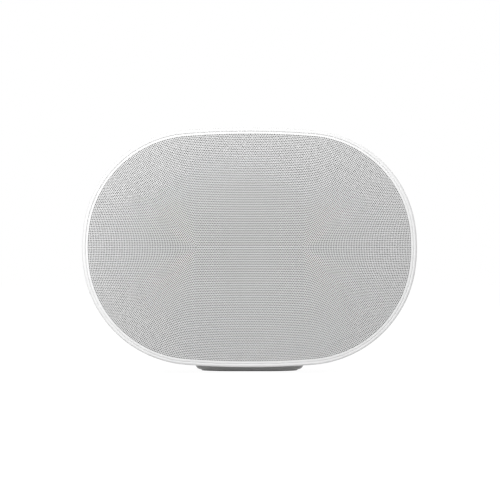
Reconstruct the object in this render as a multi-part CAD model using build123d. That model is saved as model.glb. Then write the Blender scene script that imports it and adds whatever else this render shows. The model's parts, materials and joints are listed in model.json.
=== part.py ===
"""Tabletop smart speaker: an oval grille on a cinched body, with six drivers inside.

Millimetres. +Z is up, the front faces -Y and +X is the right as seen from the front.
The origin is on the surface that it stands on, below the middle of its body.
"""
from build123d import *
import math
import os

# ---- Outline: an oval of arcs, seen from the front ----
FACE_WIDTH = 260.0
FACE_HEIGHT = 185.8
TOP_CROWN = 1.6  # rise of the long top and bottom arcs past the shoulder arcs
SIDE_CROWN = 0.3  # the same at the two ends
SHOULDER_RISE = 4.5  # shoulder arc centres, above and below the middle
CORE_CORNER = 12.0  # shoulder radius of the small oval that fills the middle of a solid
FOOT_CLEAR = 5.1  # from the table to the rim

# ---- Profile: from the front rim to the flat back ----
DEPTH = 160.0
DOME_RISE = 10.0  # of the grille, in front of the rim
RIM_R = 2.1
FRONT_R = 75.0
WAIST_TO_BACK = 58.0
WAIST_DEPTH = 23.0
REAR_HOLLOW_R = 100.0
REAR_R = 14.0
SHELL_WALL = 2.5

# ---- Clearances ----
PARTING = 0.45  # the line between the grille and the shell
FIT = 0.15  # round inserts and between parts that rest on each other
SLIDE_FIT = 0.25  # round a button or a slider
SHELL_GAP = 0.8  # between the shell and the speaker enclosure
SCREW_FIT = 0.1

# ---- Grilles ----
GRILLE_WALL = 1.6
GRILLE_SKIRT = 6.5
SCRIM_T = 0.4
LEDGE_WIDTH = 4.5
LEDGE_T = 2.0
INSERT_WALL = 1.8
VENT_R = 1.6  # of the coarse holes that stand for the fine ones
VENT_PITCH = 12.0
VENT_EDGE = 7.5  # from a grille's edge to its outermost holes
VENT_FOCUS = 40.6  # half length of the level line that the front's rings of holes go round
SIDE_WINDOW_SETBACK = 46.0  # behind the grille's tip
SIDE_WINDOW_TO_BACK = 40.0
SIDE_WINDOW_MARGIN = 46.9  # above and below it
SIDE_WINDOW_STRAIGHT = 11.0  # half of what its corners leave of its width
TOP_WINDOW_MARGIN = 68.0  # on each side of it
TOP_WINDOW_SETBACK = 44.0
TOP_WINDOW_TO_BACK = 62.0
TOP_WINDOW_STRAIGHT = 5.0

# ---- Touch controls in the top ----
TOUCH_MARGIN = 64.0  # on each side of it
TOUCH_LENGTH = 34.0
TOUCH_TO_BACK = 12.0
TOUCH_CORNER = 14.0
TROUGH_LENGTH = 52.0
TROUGH_WIDTH = 9.0
TROUGH_DEPTH = 0.9
TOUCH_POST_R = 2.5
TOUCH_BOARD_DROP = 6.0
LIGHT_PIPE_R = 1.2
LIGHT_INSET = 5.5  # from the panel's front edge
TOUCH_BOARD_WIDTH = 96.0
TOUCH_POST_SPREAD = 8.0

# ---- Foot ----
FOOT_WIDTH = 87.0
FOOT_DEPTH = 84.0
FOOT_CORNER = 30.0
FOOT_EDGE_R = 5.0
FOOT_WALL = 3.0
PAD_T = 1.8
PAD_PROUD = 0.7
PAD_INSET = 5.2
INSERT_BORE_R = 2.5
INSERT_R = 4.5
INSERT_LENGTH = 12.0
INSERT_BOSS_R = 8.0
FOOT_SCREW_X = 30.0
FOOT_SCREW_SPREAD = 26.0  # forward and back of the waist
FOOT_POST_R = 5.0
FOOT_POST_DROP = 9.0  # of the shell's posts, below its skin at the waist

# ---- Speaker enclosure ----
BOX_SETBACK = 22.0  # behind the grille's tip
BOX_TO_BACK = 46.0
BOX_WALL = 3.0
SEAL_T = 1.0
BOX_BOSS_R = 4.5
BOX_BOSS_LENGTH = 12.0
BOX_SCREW_X = 34.0
BOX_SCREW_RISE = 22.0
LUG_R = 6.0
LUG_T = 6.0
LUG_MARGIN = 66.0  # from the side of the housing
SCREW_R = 1.5
HEAD_R = 2.9
HEAD_T = 2.0
SCREW_BITE = 7.0
POCKET_WIDTH = 62.0  # of the recess over the top driver

# ---- Woofers, one on each side ----
WOOFER_MARGIN = 58.0  # from the side of the housing to its middle
WOOFER_SETBACK = 56.0
WOOFER_DROP = 17.3  # below the middle of the housing
SWING = 35.0  # degrees that the side drivers turn to the front
WOOFER_R = 39.0
FLANGE_WIDTH = 5.5
FLANGE_T = 3.0
GASKET_T = 1.0
CONE_R = 30.5
CONE_DEPTH = 13.0
CONE_T = 0.9
CONE_TRAVEL = 4.0
SURROUND_T = 0.7
COIL_R = 13.0
COIL_T = 1.0
COIL_GAP = 0.5
COIL_LENGTH = 25.0
BASKET_DEPTH = 27.0
BASKET_WALL = 2.0
MAGNET_R = 25.0
MAGNET_T = 10.0
PLATE_T = 4.0
BASKET_WINDOWS = 6
WOOFER_SCREWS = 4

# ---- Tweeters: front, left, right and top ----
DOME_R = 8.5
DOME_TRAVEL = 0.4
DOME_T = 0.5
TWEETER_COIL = 4.0
THROAT_R = 10.0
HORN_WALL = 1.8
HORN_FLANGE_T = 2.5
HORN_LIP = 7.0
HORN_NECK = 3.0
BELL_SHARE = 0.36  # of the flare that is left at the share of its depth below
BELL_DEPTH = 0.42
MOTOR_R = 12.5
MOTOR_LENGTH = 14.0
FRONT_MOUTH_R = 24.0
FRONT_HORN_DEPTH = 16.0
FRONT_TWEETER_RISE = 2.7
SIDE_MOUTH_R = 13.0
SIDE_HORN_DEPTH = 9.0
SIDE_TILT = 25.0
TOP_MOUTH_R = 18.0
TOP_HORN_DEPTH = 11.0
TOP_TWEETER_SETBACK = 66.0
TOP_TWEETER_SINK = 43.2  # below the top of the housing
TOP_LEAN = 30.0  # degrees that it leans to the front
TWEETER_SCREWS = 3

# ---- Electronics ----
BOARD_T = 1.6
STANDOFF = 8.0
STANDOFF_R = 3.5
BOARD_EDGE = 5.0  # from a board's edge to its screws
LOGIC_MARGIN = 43.0  # from the side of the housing
LOGIC_GAP = 7.0  # from the middle
LOGIC_SINK = 49.2  # of its top edge below the top of the housing
LOGIC_DROP = 10.3  # of its bottom edge below the middle
POWER_MARGIN = 69.0
POWER_DROP = 15.3  # of its top edge below the middle
POWER_CLEAR = 35.6  # of its bottom edge above the bottom of the housing
SINK_MARGIN = 12.0  # on each side of it
SINK_RISE = 12.0  # above the bottom edge of its board
SINK_TOP = 4.0  # below the top edge
SINK_DEPTH = 15.0
FIN_T = 1.6
FINS = 9

# ---- Back cover and its ports ----
COVER_WALL = 3.0
COVER_LEDGE = 5.0
PORT_WIDTH = 30.0
PORT_HEIGHT = 54.0
PORT_RISE = 11.7
PORT_STANDOFF = 6.4
PORT_POST_R = 2.5
BUTTON_R = 4.5
BUTTON_RISE = 11.7
BUTTON_TRAVEL = 0.8
BUTTON_DROP = 0.4  # of its face below the cover's
BUTTON_EDGE_R = 0.6
SWITCH_RISE = 27.7
SWITCH_WIDTH = 5.0
SWITCH_HEIGHT = 4.2
SWITCH_TRAVEL = 3.0
SLOT_CORNER = 0.6
USB_DROP = 5.3
USB_WIDTH = 9.0
USB_HEIGHT = 3.3
USB_WALL = 0.35
INLET_DROP = 39.3
RECESS_WIDTH = 40.0
RECESS_HEIGHT = 26.0
RECESS_DEPTH = 16.0
RECESS_CORNER = 6.0
INLET_PIN_PITCH = 8.6
INLET_PIN_R = 1.2
INLET_LOBE_R = 4.4
INLET_WALL = 2.2
INLET_DEPTH = 13.0
PIN_LENGTH = 9.0

# ---- Leads ----
RIBBON_WIDTH = 12.0
RIBBON_T = 0.4
LEAD_R = 1.2
LEAD_BEND = 9.0
GROMMET_R = 4.5
ANTENNA_LENGTH = 34.0
ANTENNA_HEIGHT = 8.0
ANTENNA_T = 0.8
ANTENNA_SHIFT = 3.0  # towards the middle from its board's

# ---- Sizes that follow ----
HALF_WIDTH = FACE_WIDTH / 2
HALF_HEIGHT = FACE_HEIGHT / 2
CENTRE_Z = FOOT_CLEAR + HALF_HEIGHT
SHOULDER_R = HALF_HEIGHT - TOP_CROWN - SHOULDER_RISE
SHOULDER_X = HALF_WIDTH - SIDE_CROWN - SHOULDER_R
END_R = SHOULDER_RISE**2 / (2 * SIDE_CROWN) + SHOULDER_R + SIDE_CROWN / 2
TOP_R = SHOULDER_X**2 / (2 * TOP_CROWN) + SHOULDER_R + TOP_CROWN / 2
CORE = SHOULDER_R - CORE_CORNER

TIP_Y = -DEPTH / 2
BACK_Y = DEPTH / 2
WAIST_Y = BACK_Y - WAIST_TO_BACK
RIM_FRONT = TIP_Y + DOME_RISE
RIM_Y = RIM_FRONT + RIM_R
REAR_HUB_Y = BACK_Y - REAR_R
WAIST_RUN = WAIST_Y - RIM_Y
WAIST_R = (WAIST_RUN**2 + WAIST_DEPTH**2) / (2 * WAIST_DEPTH) - FRONT_R
REAR_RUN = REAR_HUB_Y - WAIST_Y
REAR_EDGE = WAIST_DEPTH - REAR_HOLLOW_R + math.sqrt((REAR_HOLLOW_R + REAR_R) ** 2 - REAR_RUN**2)

GRILLE_EDGE = SHELL_WALL + PARTING
DOME_SKIN_R = ((CORE - GRILLE_EDGE) ** 2 + DOME_RISE**2) / (2 * DOME_RISE)
LEDGE_Y = RIM_FRONT + GRILLE_SKIRT + FIT
COVER_SEAT = BACK_Y - COVER_WALL
BOX_SKIN = SHELL_WALL + SHELL_GAP
BOX_FRONT = TIP_Y + BOX_SETBACK
BOX_BACK = BACK_Y - BOX_TO_BACK
BOARD_Y = BOX_BACK + STANDOFF
LUG_X = HALF_WIDTH - LUG_MARGIN

SIDE_WINDOW_FRONT = TIP_Y + SIDE_WINDOW_SETBACK
SIDE_WINDOW_BACK = BACK_Y - SIDE_WINDOW_TO_BACK
SIDE_WINDOW_HEIGHT = FACE_HEIGHT - 2 * SIDE_WINDOW_MARGIN
SIDE_MIDDLE = (SIDE_WINDOW_FRONT + SIDE_WINDOW_BACK) / 2
SIDE_WINDOW_CORNER = (SIDE_WINDOW_BACK - SIDE_WINDOW_FRONT) / 2 - SIDE_WINDOW_STRAIGHT
TOP_WINDOW_WIDTH = FACE_WIDTH - 2 * TOP_WINDOW_MARGIN
TOP_WINDOW_FRONT = TIP_Y + TOP_WINDOW_SETBACK
TOP_WINDOW_BACK = BACK_Y - TOP_WINDOW_TO_BACK
TOP_WINDOW_CORNER = (TOP_WINDOW_BACK - TOP_WINDOW_FRONT) / 2 - TOP_WINDOW_STRAIGHT
TOUCH_WIDTH = FACE_WIDTH - 2 * TOUCH_MARGIN
TOUCH_BACK = BACK_Y - TOUCH_TO_BACK
TOUCH_FRONT = TOUCH_BACK - TOUCH_LENGTH
LIGHT_Y = TOUCH_FRONT + LIGHT_INSET

WOOFER_X = HALF_WIDTH - WOOFER_MARGIN
WOOFER_Y = TIP_Y + WOOFER_SETBACK
WOOFER_Z = CENTRE_Z - WOOFER_DROP
FRONT_TWEETER_Z = CENTRE_Z + FRONT_TWEETER_RISE
TOP_TWEETER_Y = TIP_Y + TOP_TWEETER_SETBACK
TOP_TWEETER_Z = CENTRE_Z + HALF_HEIGHT - TOP_TWEETER_SINK

LOGIC_WIDTH = HALF_WIDTH - LOGIC_MARGIN - LOGIC_GAP
LOGIC_X = LOGIC_GAP + LOGIC_WIDTH / 2
LOGIC_HEIGHT = HALF_HEIGHT - LOGIC_SINK + LOGIC_DROP
LOGIC_Z = CENTRE_Z - LOGIC_DROP + LOGIC_HEIGHT / 2
POWER_WIDTH = FACE_WIDTH - 2 * POWER_MARGIN
POWER_HEIGHT = HALF_HEIGHT - POWER_DROP - POWER_CLEAR
POWER_Z = CENTRE_Z - POWER_DROP - POWER_HEIGHT / 2
ANTENNA_X = LOGIC_X - ANTENNA_SHIFT
PORT_Z = CENTRE_Z + PORT_RISE
BUTTON_Z = CENTRE_Z + BUTTON_RISE
SWITCH_Z = CENTRE_Z + SWITCH_RISE
USB_Z = CENTRE_Z - USB_DROP
INLET_Z = CENTRE_Z - INLET_DROP


# ---- The oval and the profile ----
def oval_arcs():
    """Centre x and z, radius, first angle and turn of each arc of the outline."""
    end_x = HALF_WIDTH - END_R
    low = math.degrees(math.atan2(SHOULDER_RISE, SHOULDER_X - end_x))
    top_z = HALF_HEIGHT - TOP_R
    high = math.degrees(math.atan2(SHOULDER_RISE - top_z, SHOULDER_X))
    turn = high - low
    return [
        (end_x, 0, END_R, -low, 2 * low),
        (SHOULDER_X, SHOULDER_RISE, SHOULDER_R, low, turn),
        (0, top_z, TOP_R, high, 180 - 2 * high),
        (-SHOULDER_X, SHOULDER_RISE, SHOULDER_R, 180 - high, turn),
        (-end_x, 0, END_R, 180 - low, 2 * low),
        (-SHOULDER_X, -SHOULDER_RISE, SHOULDER_R, 180 + low, turn),
        (0, -top_z, TOP_R, 180 + high, 180 - 2 * high),
        (SHOULDER_X, -SHOULDER_RISE, SHOULDER_R, 360 - high, turn),
    ]


def oval_face(inset, y):
    """The outline drawn this far inside itself, flat, at this depth."""
    edges = []
    for cx, cz, radius, start, turn in oval_arcs():
        plane = Plane(origin=(cx, y, CENTRE_Z + cz), x_dir=(1, 0, 0), z_dir=(0, -1, 0))
        edges.append(Edge.make_circle(radius - inset, plane, start, start + turn))
    return Face(Wire(edges))


def oval_plate(inset, front, back):
    return extrude(oval_face(inset, front), amount=back - front, dir=(0, 1, 0))


def oval_height(x, inset):
    """Height of the outline above its middle, at this x."""
    radius = SHOULDER_R - inset
    if abs(x) > SHOULDER_X:
        return SHOULDER_RISE + math.sqrt(radius**2 - (abs(x) - SHOULDER_X) ** 2)
    return HALF_HEIGHT - TOP_R + math.sqrt((TOP_R - inset) ** 2 - x**2)


def oval_reach(z, inset):
    """Half width of the outline at this height above its middle."""
    radius = SHOULDER_R - inset
    return SHOULDER_X + math.sqrt(radius**2 - max(abs(z) - SHOULDER_RISE, 0) ** 2)


def skin_arcs():
    """The profile's arcs: 1 for round or -1 for hollow, centre inset and y, radius."""
    return [
        (1, FRONT_R, RIM_Y, FRONT_R),
        (-1, WAIST_DEPTH - WAIST_R, WAIST_Y, WAIST_R),
        (-1, WAIST_DEPTH - REAR_HOLLOW_R, WAIST_Y, REAR_HOLLOW_R),
        (1, REAR_EDGE, REAR_HUB_Y, REAR_R),
    ]


def skin_joins(depth):
    """Where the profile's arcs meet along Y, this deep inside the skin."""
    lean = WAIST_RUN / (FRONT_R + WAIST_R)
    flare = REAR_RUN / (REAR_HOLLOW_R + REAR_R)
    front_join = RIM_Y + (FRONT_R - depth) * lean
    rear_join = REAR_HUB_Y - (REAR_R - depth) * flare
    return [RIM_Y, front_join, WAIST_Y, rear_join, BACK_Y - depth]


def skin_inset(y, depth=0.0):
    """Inset of the surface that lies this deep inside the skin."""
    joins = skin_joins(depth)
    index = max(i for i in range(4) if i == 0 or y >= joins[i])
    side, hub_inset, hub_y, radius = skin_arcs()[index]
    reach = radius - side * depth
    return hub_inset - side * math.sqrt(max(reach**2 - (y - hub_y) ** 2, 0))


def skin(depth, front, back):
    """Edges of the profile from front to back, drawn with x as minus the inset."""
    stops = [front] + [y for y in skin_joins(depth)[1:-1] if front < y < back] + [back]
    edges = []
    for low, high in zip(stops, stops[1:]):
        points = [(-skin_inset(y, depth), y) for y in (low, (low + high) / 2, high)]
        edges.append(ThreePointArc(*points))
    return edges


def section(*pieces):
    """A face from edges and from the corners between them, given in order."""
    edges = []
    last = None
    first = None
    for piece in pieces:
        start, end = (piece @ 0, piece @ 1) if isinstance(piece, Edge) else (Vector(piece), Vector(piece))
        if last is not None and (start - last).length > 1e-6:
            edges.append(Line(last, start))
        if isinstance(piece, Edge):
            edges.append(piece)
        first = start if first is None else first
        last = end
    if (first - last).length > 1e-6:
        edges.append(Line(last, first))
    return make_face(edges)


def backwards(edges):
    """The same edges, walked from the other end."""
    return [ThreePointArc(e @ 1, e @ 0.5, e @ 0) for e in reversed(edges)]


def corner(inset, y):
    return (-inset, y)


def swept(face):
    """Carry a section round the whole outline."""
    bands = []
    for cx, cz, radius, start, turn in oval_arcs():
        angle = math.radians(start)
        out = (math.cos(angle), 0, math.sin(angle))
        along = (-math.sin(angle), 0, math.cos(angle))
        hub = (cx, 0, CENTRE_Z + cz)
        spoke = Plane(origin=hub, x_dir=out, z_dir=along)
        bands.append(revolve(spoke * (Pos(radius, 0, 0) * face), Axis(hub, (0, -1, 0)), turn))
    return bands[0].fuse(*bands[1:]).clean()


def hoop(outer, inner, front, back):
    """A band between two surfaces at these depths inside the skin."""
    return swept(section(*skin(outer, front, back), *backwards(skin(inner, front, back))))


def filled(depth, front, back):
    """Everything inside the surface at this depth inside the skin."""
    face = section(*skin(depth, front, back), corner(CORE, back), corner(CORE, front))
    return joined(swept(face), oval_plate(CORE, front, back))


def joined(first, *others):
    return first.fuse(*others).clean()


# ---- Small shapes ----
def turned(*pieces):
    """A solid turned round Z from arcs and corners given as radius and height."""
    return revolve(Plane.XZ * section(*pieces), Axis.Z)


def crown(radius, low, rise):
    """The arc of a dome's profile, from its top out to its edge."""
    sphere = (radius**2 + rise**2) / (2 * rise)
    middle = low + rise - sphere + math.sqrt(sphere**2 - (radius / 2) ** 2)
    return ThreePointArc((0, low + rise), (radius / 2, middle), (radius, low))


def ring(outer, inner, low, high):
    return turned((inner, low), (outer, low), (outer, high), (inner, high))


def rod(radius, low, high):
    return Pos(0, 0, (low + high) / 2) * Cylinder(radius, high - low)


def block(x0, x1, y0, y1, z0, z1):
    return Pos((x0 + x1) / 2, (y0 + y1) / 2, (z0 + z1) / 2) * Box(x1 - x0, y1 - y0, z1 - z0)


def rounded_prism(plane, width, height, radius, low, high):
    """A rounded rectangle drawn on a plane and carried from low to high along its normal."""
    shape = plane * Pos(0, 0, low) * RectangleRounded(width, height, radius)
    return extrude(shape, amount=high - low, dir=plane.z_dir)


def backward(x, y, z):
    """A plane that faces the back, with its own y up."""
    return Plane(origin=(x, y, z), x_dir=(-1, 0, 0), z_dir=(0, 1, 0))


def frontward(x, y, z):
    return Plane(origin=(x, y, z), x_dir=(1, 0, 0), z_dir=(0, -1, 0))


def upward(x, y, z):
    return Plane(origin=(x, y, z), x_dir=(1, 0, 0), z_dir=(0, 0, 1))


def downward(x, y, z):
    return Plane(origin=(x, y, z), x_dir=(1, 0, 0), z_dir=(0, 0, -1))


def group(pieces):
    """Separate solids kept as one node."""
    return Compound(children=[solid for piece in pieces for solid in piece.solids()])


def screw(length, shank=SCREW_R, head=HEAD_R):
    """A pan screw with its head on the plane and its shank below it."""
    return rod(head, 0, HEAD_T) + rod(shank, -length, 0)


# ---- Where the drivers sit ----
def side_axis(side, tilt):
    """Normal and level direction of a side driver's seat, swung to the front and tilted up."""
    swing, rise = math.radians(SWING), math.radians(tilt)
    out = (side * math.cos(swing) * math.cos(rise), -math.sin(swing) * math.cos(rise), math.sin(rise))
    level = (side * math.sin(swing), math.cos(swing), 0)
    return out, level


def woofer_seat(side):
    out, level = side_axis(side, 0)
    return Plane(origin=(side * WOOFER_X, WOOFER_Y, WOOFER_Z), x_dir=level, z_dir=out)


def side_seat(side):
    """The side tweeter's seat, tilted up about a level line just above the woofer."""
    out, level = side_axis(side, SIDE_TILT)
    up = Vector(*out).cross(Vector(*level))
    up = up if up.Z > 0 else -up
    hinge = Vector(side * WOOFER_X, WOOFER_Y, WOOFER_Z + WOOFER_R + HORN_WALL)
    centre = hinge + up * (SIDE_MOUTH_R + HORN_LIP + HORN_WALL)
    return Plane(origin=centre, x_dir=level, z_dir=out)


def top_seat():
    lean = math.radians(TOP_LEAN)
    origin = (0, TOP_TWEETER_Y, TOP_TWEETER_Z)
    return Plane(origin=origin, x_dir=(1, 0, 0), z_dir=(0, -math.sin(lean), math.cos(lean)))


FRONT_SEAT = frontward(0, BOX_FRONT, FRONT_TWEETER_Z)
SIDES = {"left": -1, "right": 1}
TWEETERS = {
    "front": (FRONT_SEAT, FRONT_MOUTH_R, FRONT_HORN_DEPTH),
    "left": (side_seat(-1), SIDE_MOUTH_R, SIDE_HORN_DEPTH),
    "right": (side_seat(1), SIDE_MOUTH_R, SIDE_HORN_DEPTH),
    "top": (top_seat(), TOP_MOUTH_R, TOP_HORN_DEPTH),
}


def round_places(count, radius):
    """Places spaced evenly round a driver's seat."""
    return [Rot(0, 0, (i + 0.5) * 360 / count) * Pos(radius, 0, 0) for i in range(count)]


def driver_screw_places():
    """Every driver screw's head seat, with the depth of what it clamps."""
    places = []
    for side in SIDES.values():
        for spot in round_places(WOOFER_SCREWS, WOOFER_R - FLANGE_WIDTH / 2):
            places.append((woofer_seat(side) * spot, FLANGE_T + GASKET_T))
    for seat, mouth, depth in TWEETERS.values():
        for spot in round_places(TWEETER_SCREWS, mouth + HORN_LIP - HEAD_R):
            places.append((seat * spot, HORN_FLANGE_T))
    return places


# ---- Outer pieces ----
def dome_y(inset, depth=0.0):
    """Depth of the grille's skin at this inset, this deep inside its surface."""
    return TIP_Y + DOME_SKIN_R - math.sqrt((DOME_SKIN_R - depth) ** 2 - (CORE - inset) ** 2)


def dome(depth, edge, to=CORE):
    """The dome's arc from this inset to its crown."""
    points = [corner(i, dome_y(i, depth)) for i in (edge, (edge + to) / 2, to)]
    return ThreePointArc(*points)


def vent_rings():
    """Places of the front's coarse holes, in rings from the level line out to the edge."""
    edge = GRILLE_EDGE + VENT_EDGE
    rings = round((HALF_HEIGHT - edge) / VENT_PITCH)
    across = round(2 * VENT_FOCUS / VENT_PITCH)
    places = [(VENT_FOCUS * (2 * i / across - 1), 0) for i in range(across + 1)]
    for ring in range(1, rings + 1):
        share = ring / rings
        for i in range(across + 1):
            x = VENT_FOCUS * (2 * i / across - 1)
            z = oval_height(x, edge) * share
            places += [(x, z), (x, -z)]
        turns = 3 * ring
        for i in range(1, turns):
            angle = math.pi * i / turns
            reach = oval_reach(0, edge) - VENT_FOCUS
            rise = oval_height(VENT_FOCUS, edge)
            x = VENT_FOCUS + reach * share * math.sin(angle)
            z = rise * share * math.cos(angle)
            places += [(x, z), (-x, z)]
    return places


def grid_vents(width, height):
    """Places of a small grille's coarse holes about its middle, in even rows."""
    columns = math.floor((width - 2 * VENT_EDGE) / VENT_PITCH)
    rows = math.floor((height - 2 * VENT_EDGE) / VENT_PITCH)
    middle = [(i - columns / 2, k - rows / 2) for i in range(columns + 1) for k in range(rows + 1)]
    inner = [(u, w) for u, w in middle if abs(u) < columns / 2 or abs(w) < rows / 2]
    return [(u * VENT_PITCH, w * VENT_PITCH) for u, w in inner]


def front_grille():
    inner = GRILLE_EDGE + GRILLE_WALL
    skirt_end = RIM_FRONT + GRILLE_SKIRT
    face = section(
        dome(0, GRILLE_EDGE),
        *backwards([dome(GRILLE_WALL, inner)]),
        corner(inner, skirt_end),
        corner(GRILLE_EDGE, skirt_end),
    )
    body = joined(swept(face), oval_plate(CORE, TIP_Y, TIP_Y + GRILLE_WALL))
    return body - [frontward(x, 0, CENTRE_Z + z) * rod(VENT_R, 0, DEPTH) for x, z in vent_rings()]


def grille_scrim():
    near = GRILLE_WALL + FIT
    far = near + SCRIM_T
    edge = GRILLE_EDGE + GRILLE_WALL + FIT
    face = section(dome(near, edge), *backwards([dome(far, edge)]))
    return joined(swept(face), oval_plate(CORE, TIP_Y + near, TIP_Y + far))


def side_window(side, shrink):
    """The prism that cuts a side window, or with a shrink its insert."""
    width = SIDE_WINDOW_BACK - SIDE_WINDOW_FRONT - 2 * shrink
    height = SIDE_WINDOW_HEIGHT - 2 * shrink
    plane = Plane(origin=(0, SIDE_MIDDLE, CENTRE_Z), x_dir=(0, 1, 0), z_dir=(side, 0, 0))
    return rounded_prism(plane, width, height, SIDE_WINDOW_CORNER - shrink, SHOULDER_X, HALF_WIDTH)


def top_window(width, front, back, radius, shrink):
    plane = upward(0, (front + back) / 2, CENTRE_Z)
    size = (width - 2 * shrink, back - front - 2 * shrink, radius - shrink)
    return rounded_prism(plane, *size, HALF_HEIGHT / 3, HALF_HEIGHT)


def grille_window(shrink):
    return top_window(TOP_WINDOW_WIDTH, TOP_WINDOW_FRONT, TOP_WINDOW_BACK, TOP_WINDOW_CORNER, shrink)


def touch_window(shrink):
    return top_window(TOUCH_WIDTH, TOUCH_FRONT, TOUCH_BACK, TOUCH_CORNER, shrink)


def lug_places():
    """Where the shell's lugs clamp the enclosure's back, on the rear wall's plane."""
    inset = skin_inset(BOX_BACK, SHELL_WALL) + LUG_R - SHELL_WALL
    rise = oval_height(LUG_X, inset)
    return [(x, CENTRE_Z + z) for x in (-LUG_X, LUG_X) for z in (-rise, rise)]


def foot_screw_places():
    return [(x, WAIST_Y + y) for x in (-FOOT_SCREW_X, FOOT_SCREW_X)
            for y in (-FOOT_SCREW_SPREAD, FOOT_SCREW_SPREAD)]


POST_END = CENTRE_Z - HALF_HEIGHT + WAIST_DEPTH - FOOT_POST_DROP


def outer_shell():
    rim = ThreePointArc(
        corner(RIM_R, RIM_FRONT),
        corner(RIM_R * (1 - math.sqrt(0.5)), RIM_Y - RIM_R * math.sqrt(0.5)),
        corner(0, RIM_Y),
    )
    face = section(
        rim,
        *skin(0, RIM_Y, BACK_Y),
        *backwards(skin(SHELL_WALL, RIM_Y, BACK_Y - SHELL_WALL)),
        corner(SHELL_WALL, RIM_FRONT),
    )
    ledge = section(
        corner(SHELL_WALL / 2, LEDGE_Y),
        corner(SHELL_WALL + LEDGE_WIDTH, LEDGE_Y),
        corner(SHELL_WALL + LEDGE_WIDTH, LEDGE_Y + LEDGE_T),
        corner(SHELL_WALL / 2, LEDGE_Y + LEDGE_T),
    )
    cover_front = COVER_SEAT - FIT
    cover_ledge = section(
        corner(REAR_EDGE - REAR_R / 2, cover_front),
        corner(REAR_EDGE + COVER_LEDGE, cover_front),
        corner(REAR_EDGE + COVER_LEDGE, cover_front - SHELL_WALL),
        corner(REAR_EDGE - REAR_R / 2, cover_front - SHELL_WALL),
    )
    shell = joined(swept(face), swept(ledge), swept(cover_ledge))
    lip = oval_plate(REAR_EDGE, cover_front, BACK_Y + 1)
    shell = shell - lip
    for x, z in lug_places():
        shell += backward(x, BOX_BACK + FIT, z) * rod(LUG_R, 0, LUG_T)
    inside = filled(SHELL_WALL, RIM_Y, WAIST_Y + FOOT_DEPTH / 2)
    for x, y in foot_screw_places():
        shell += upward(x, y, 0) * rod(FOOT_POST_R, POST_END, CENTRE_Z / 2) - inside
    for x, y in foot_screw_places():
        shell -= upward(x, y, 0) * rod(SCREW_R + SCREW_FIT, POST_END - 1, POST_END + SCREW_BITE)
    for x, z in lug_places():
        shell -= backward(x, BOX_BACK, z) * rod(SCREW_R + SCREW_FIT, -1, LUG_T + 1)
    for side in SIDES.values():
        shell -= side_window(side, 0)
    return shell - grille_window(0) - touch_window(0)


def side_grille(side):
    sheet = hoop(0, INSERT_WALL, SIDE_WINDOW_FRONT - 1, SIDE_WINDOW_BACK + 1) & side_window(side, FIT)
    plane = Plane(origin=(0, SIDE_MIDDLE, CENTRE_Z), x_dir=(0, 1, 0), z_dir=(side, 0, 0))
    vents = grid_vents(SIDE_WINDOW_BACK - SIDE_WINDOW_FRONT, SIDE_WINDOW_HEIGHT)
    return sheet - [plane * Pos(u, w, 0) * rod(VENT_R, 0, FACE_WIDTH) for u, w in vents]


def top_grille():
    sheet = hoop(0, INSERT_WALL, TOP_WINDOW_FRONT - 1, TOP_WINDOW_BACK + 1) & grille_window(FIT)
    middle = (TOP_WINDOW_FRONT + TOP_WINDOW_BACK) / 2
    vents = grid_vents(TOP_WINDOW_WIDTH, TOP_WINDOW_BACK - TOP_WINDOW_FRONT)
    return sheet - [Pos(x, middle + y, 0) * rod(VENT_R, CENTRE_Z, 2 * CENTRE_Z) for x, y in vents]


TOUCH_MIDDLE = (TOUCH_FRONT + TOUCH_BACK) / 2
TOUCH_TOP = CENTRE_Z + HALF_HEIGHT - skin_inset(TOUCH_MIDDLE)
TOUCH_BOARD_TOP = TOUCH_TOP - SHELL_WALL - TOUCH_BOARD_DROP
TOUCH_POST_X = TOUCH_BOARD_WIDTH / 2 - 2 * TOUCH_POST_R
TOUCH_POSTS = [(x, TOUCH_MIDDLE + y) for x in (-TOUCH_POST_X, TOUCH_POST_X)
               for y in (-TOUCH_POST_SPREAD, TOUCH_POST_SPREAD)]
LIGHT_TOP = CENTRE_Z + HALF_HEIGHT - skin_inset(LIGHT_Y)


def touch_panel():
    sheet = hoop(0, SHELL_WALL, TOUCH_FRONT - 1, TOUCH_BACK + 1)
    panel = sheet & touch_window(FIT)
    trough = SlotOverall(TROUGH_LENGTH, TROUGH_WIDTH)
    panel -= extrude(Pos(0, TOUCH_MIDDLE, TOUCH_TOP - TROUGH_DEPTH) * trough, amount=DEPTH / 8)
    under = filled(SHELL_WALL / 2, TOUCH_FRONT, TOUCH_BACK)
    for x, y in TOUCH_POSTS:
        post = Pos(x, y, 0) * rod(TOUCH_POST_R, TOUCH_BOARD_TOP + FIT, TOUCH_TOP + SHELL_WALL)
        panel += post & under
    return panel - Pos(0, LIGHT_Y, 0) * rod(LIGHT_PIPE_R + SCREW_FIT, 0, 2 * CENTRE_Z)


def touch_board():
    length = TOUCH_BACK - TOUCH_FRONT - 4 * SHELL_WALL
    return Pos(0, TOUCH_MIDDLE, TOUCH_BOARD_TOP - BOARD_T / 2) * Box(TOUCH_BOARD_WIDTH, length, BOARD_T)


def status_light():
    return Pos(0, LIGHT_Y, 0) * rod(LIGHT_PIPE_R, TOUCH_BOARD_TOP + FIT, LIGHT_TOP - FIT)


# ---- Foot ----
def foot_outline(shrink):
    return RectangleRounded(FOOT_WIDTH - 2 * shrink, FOOT_DEPTH - 2 * shrink, FOOT_CORNER - shrink)


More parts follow.
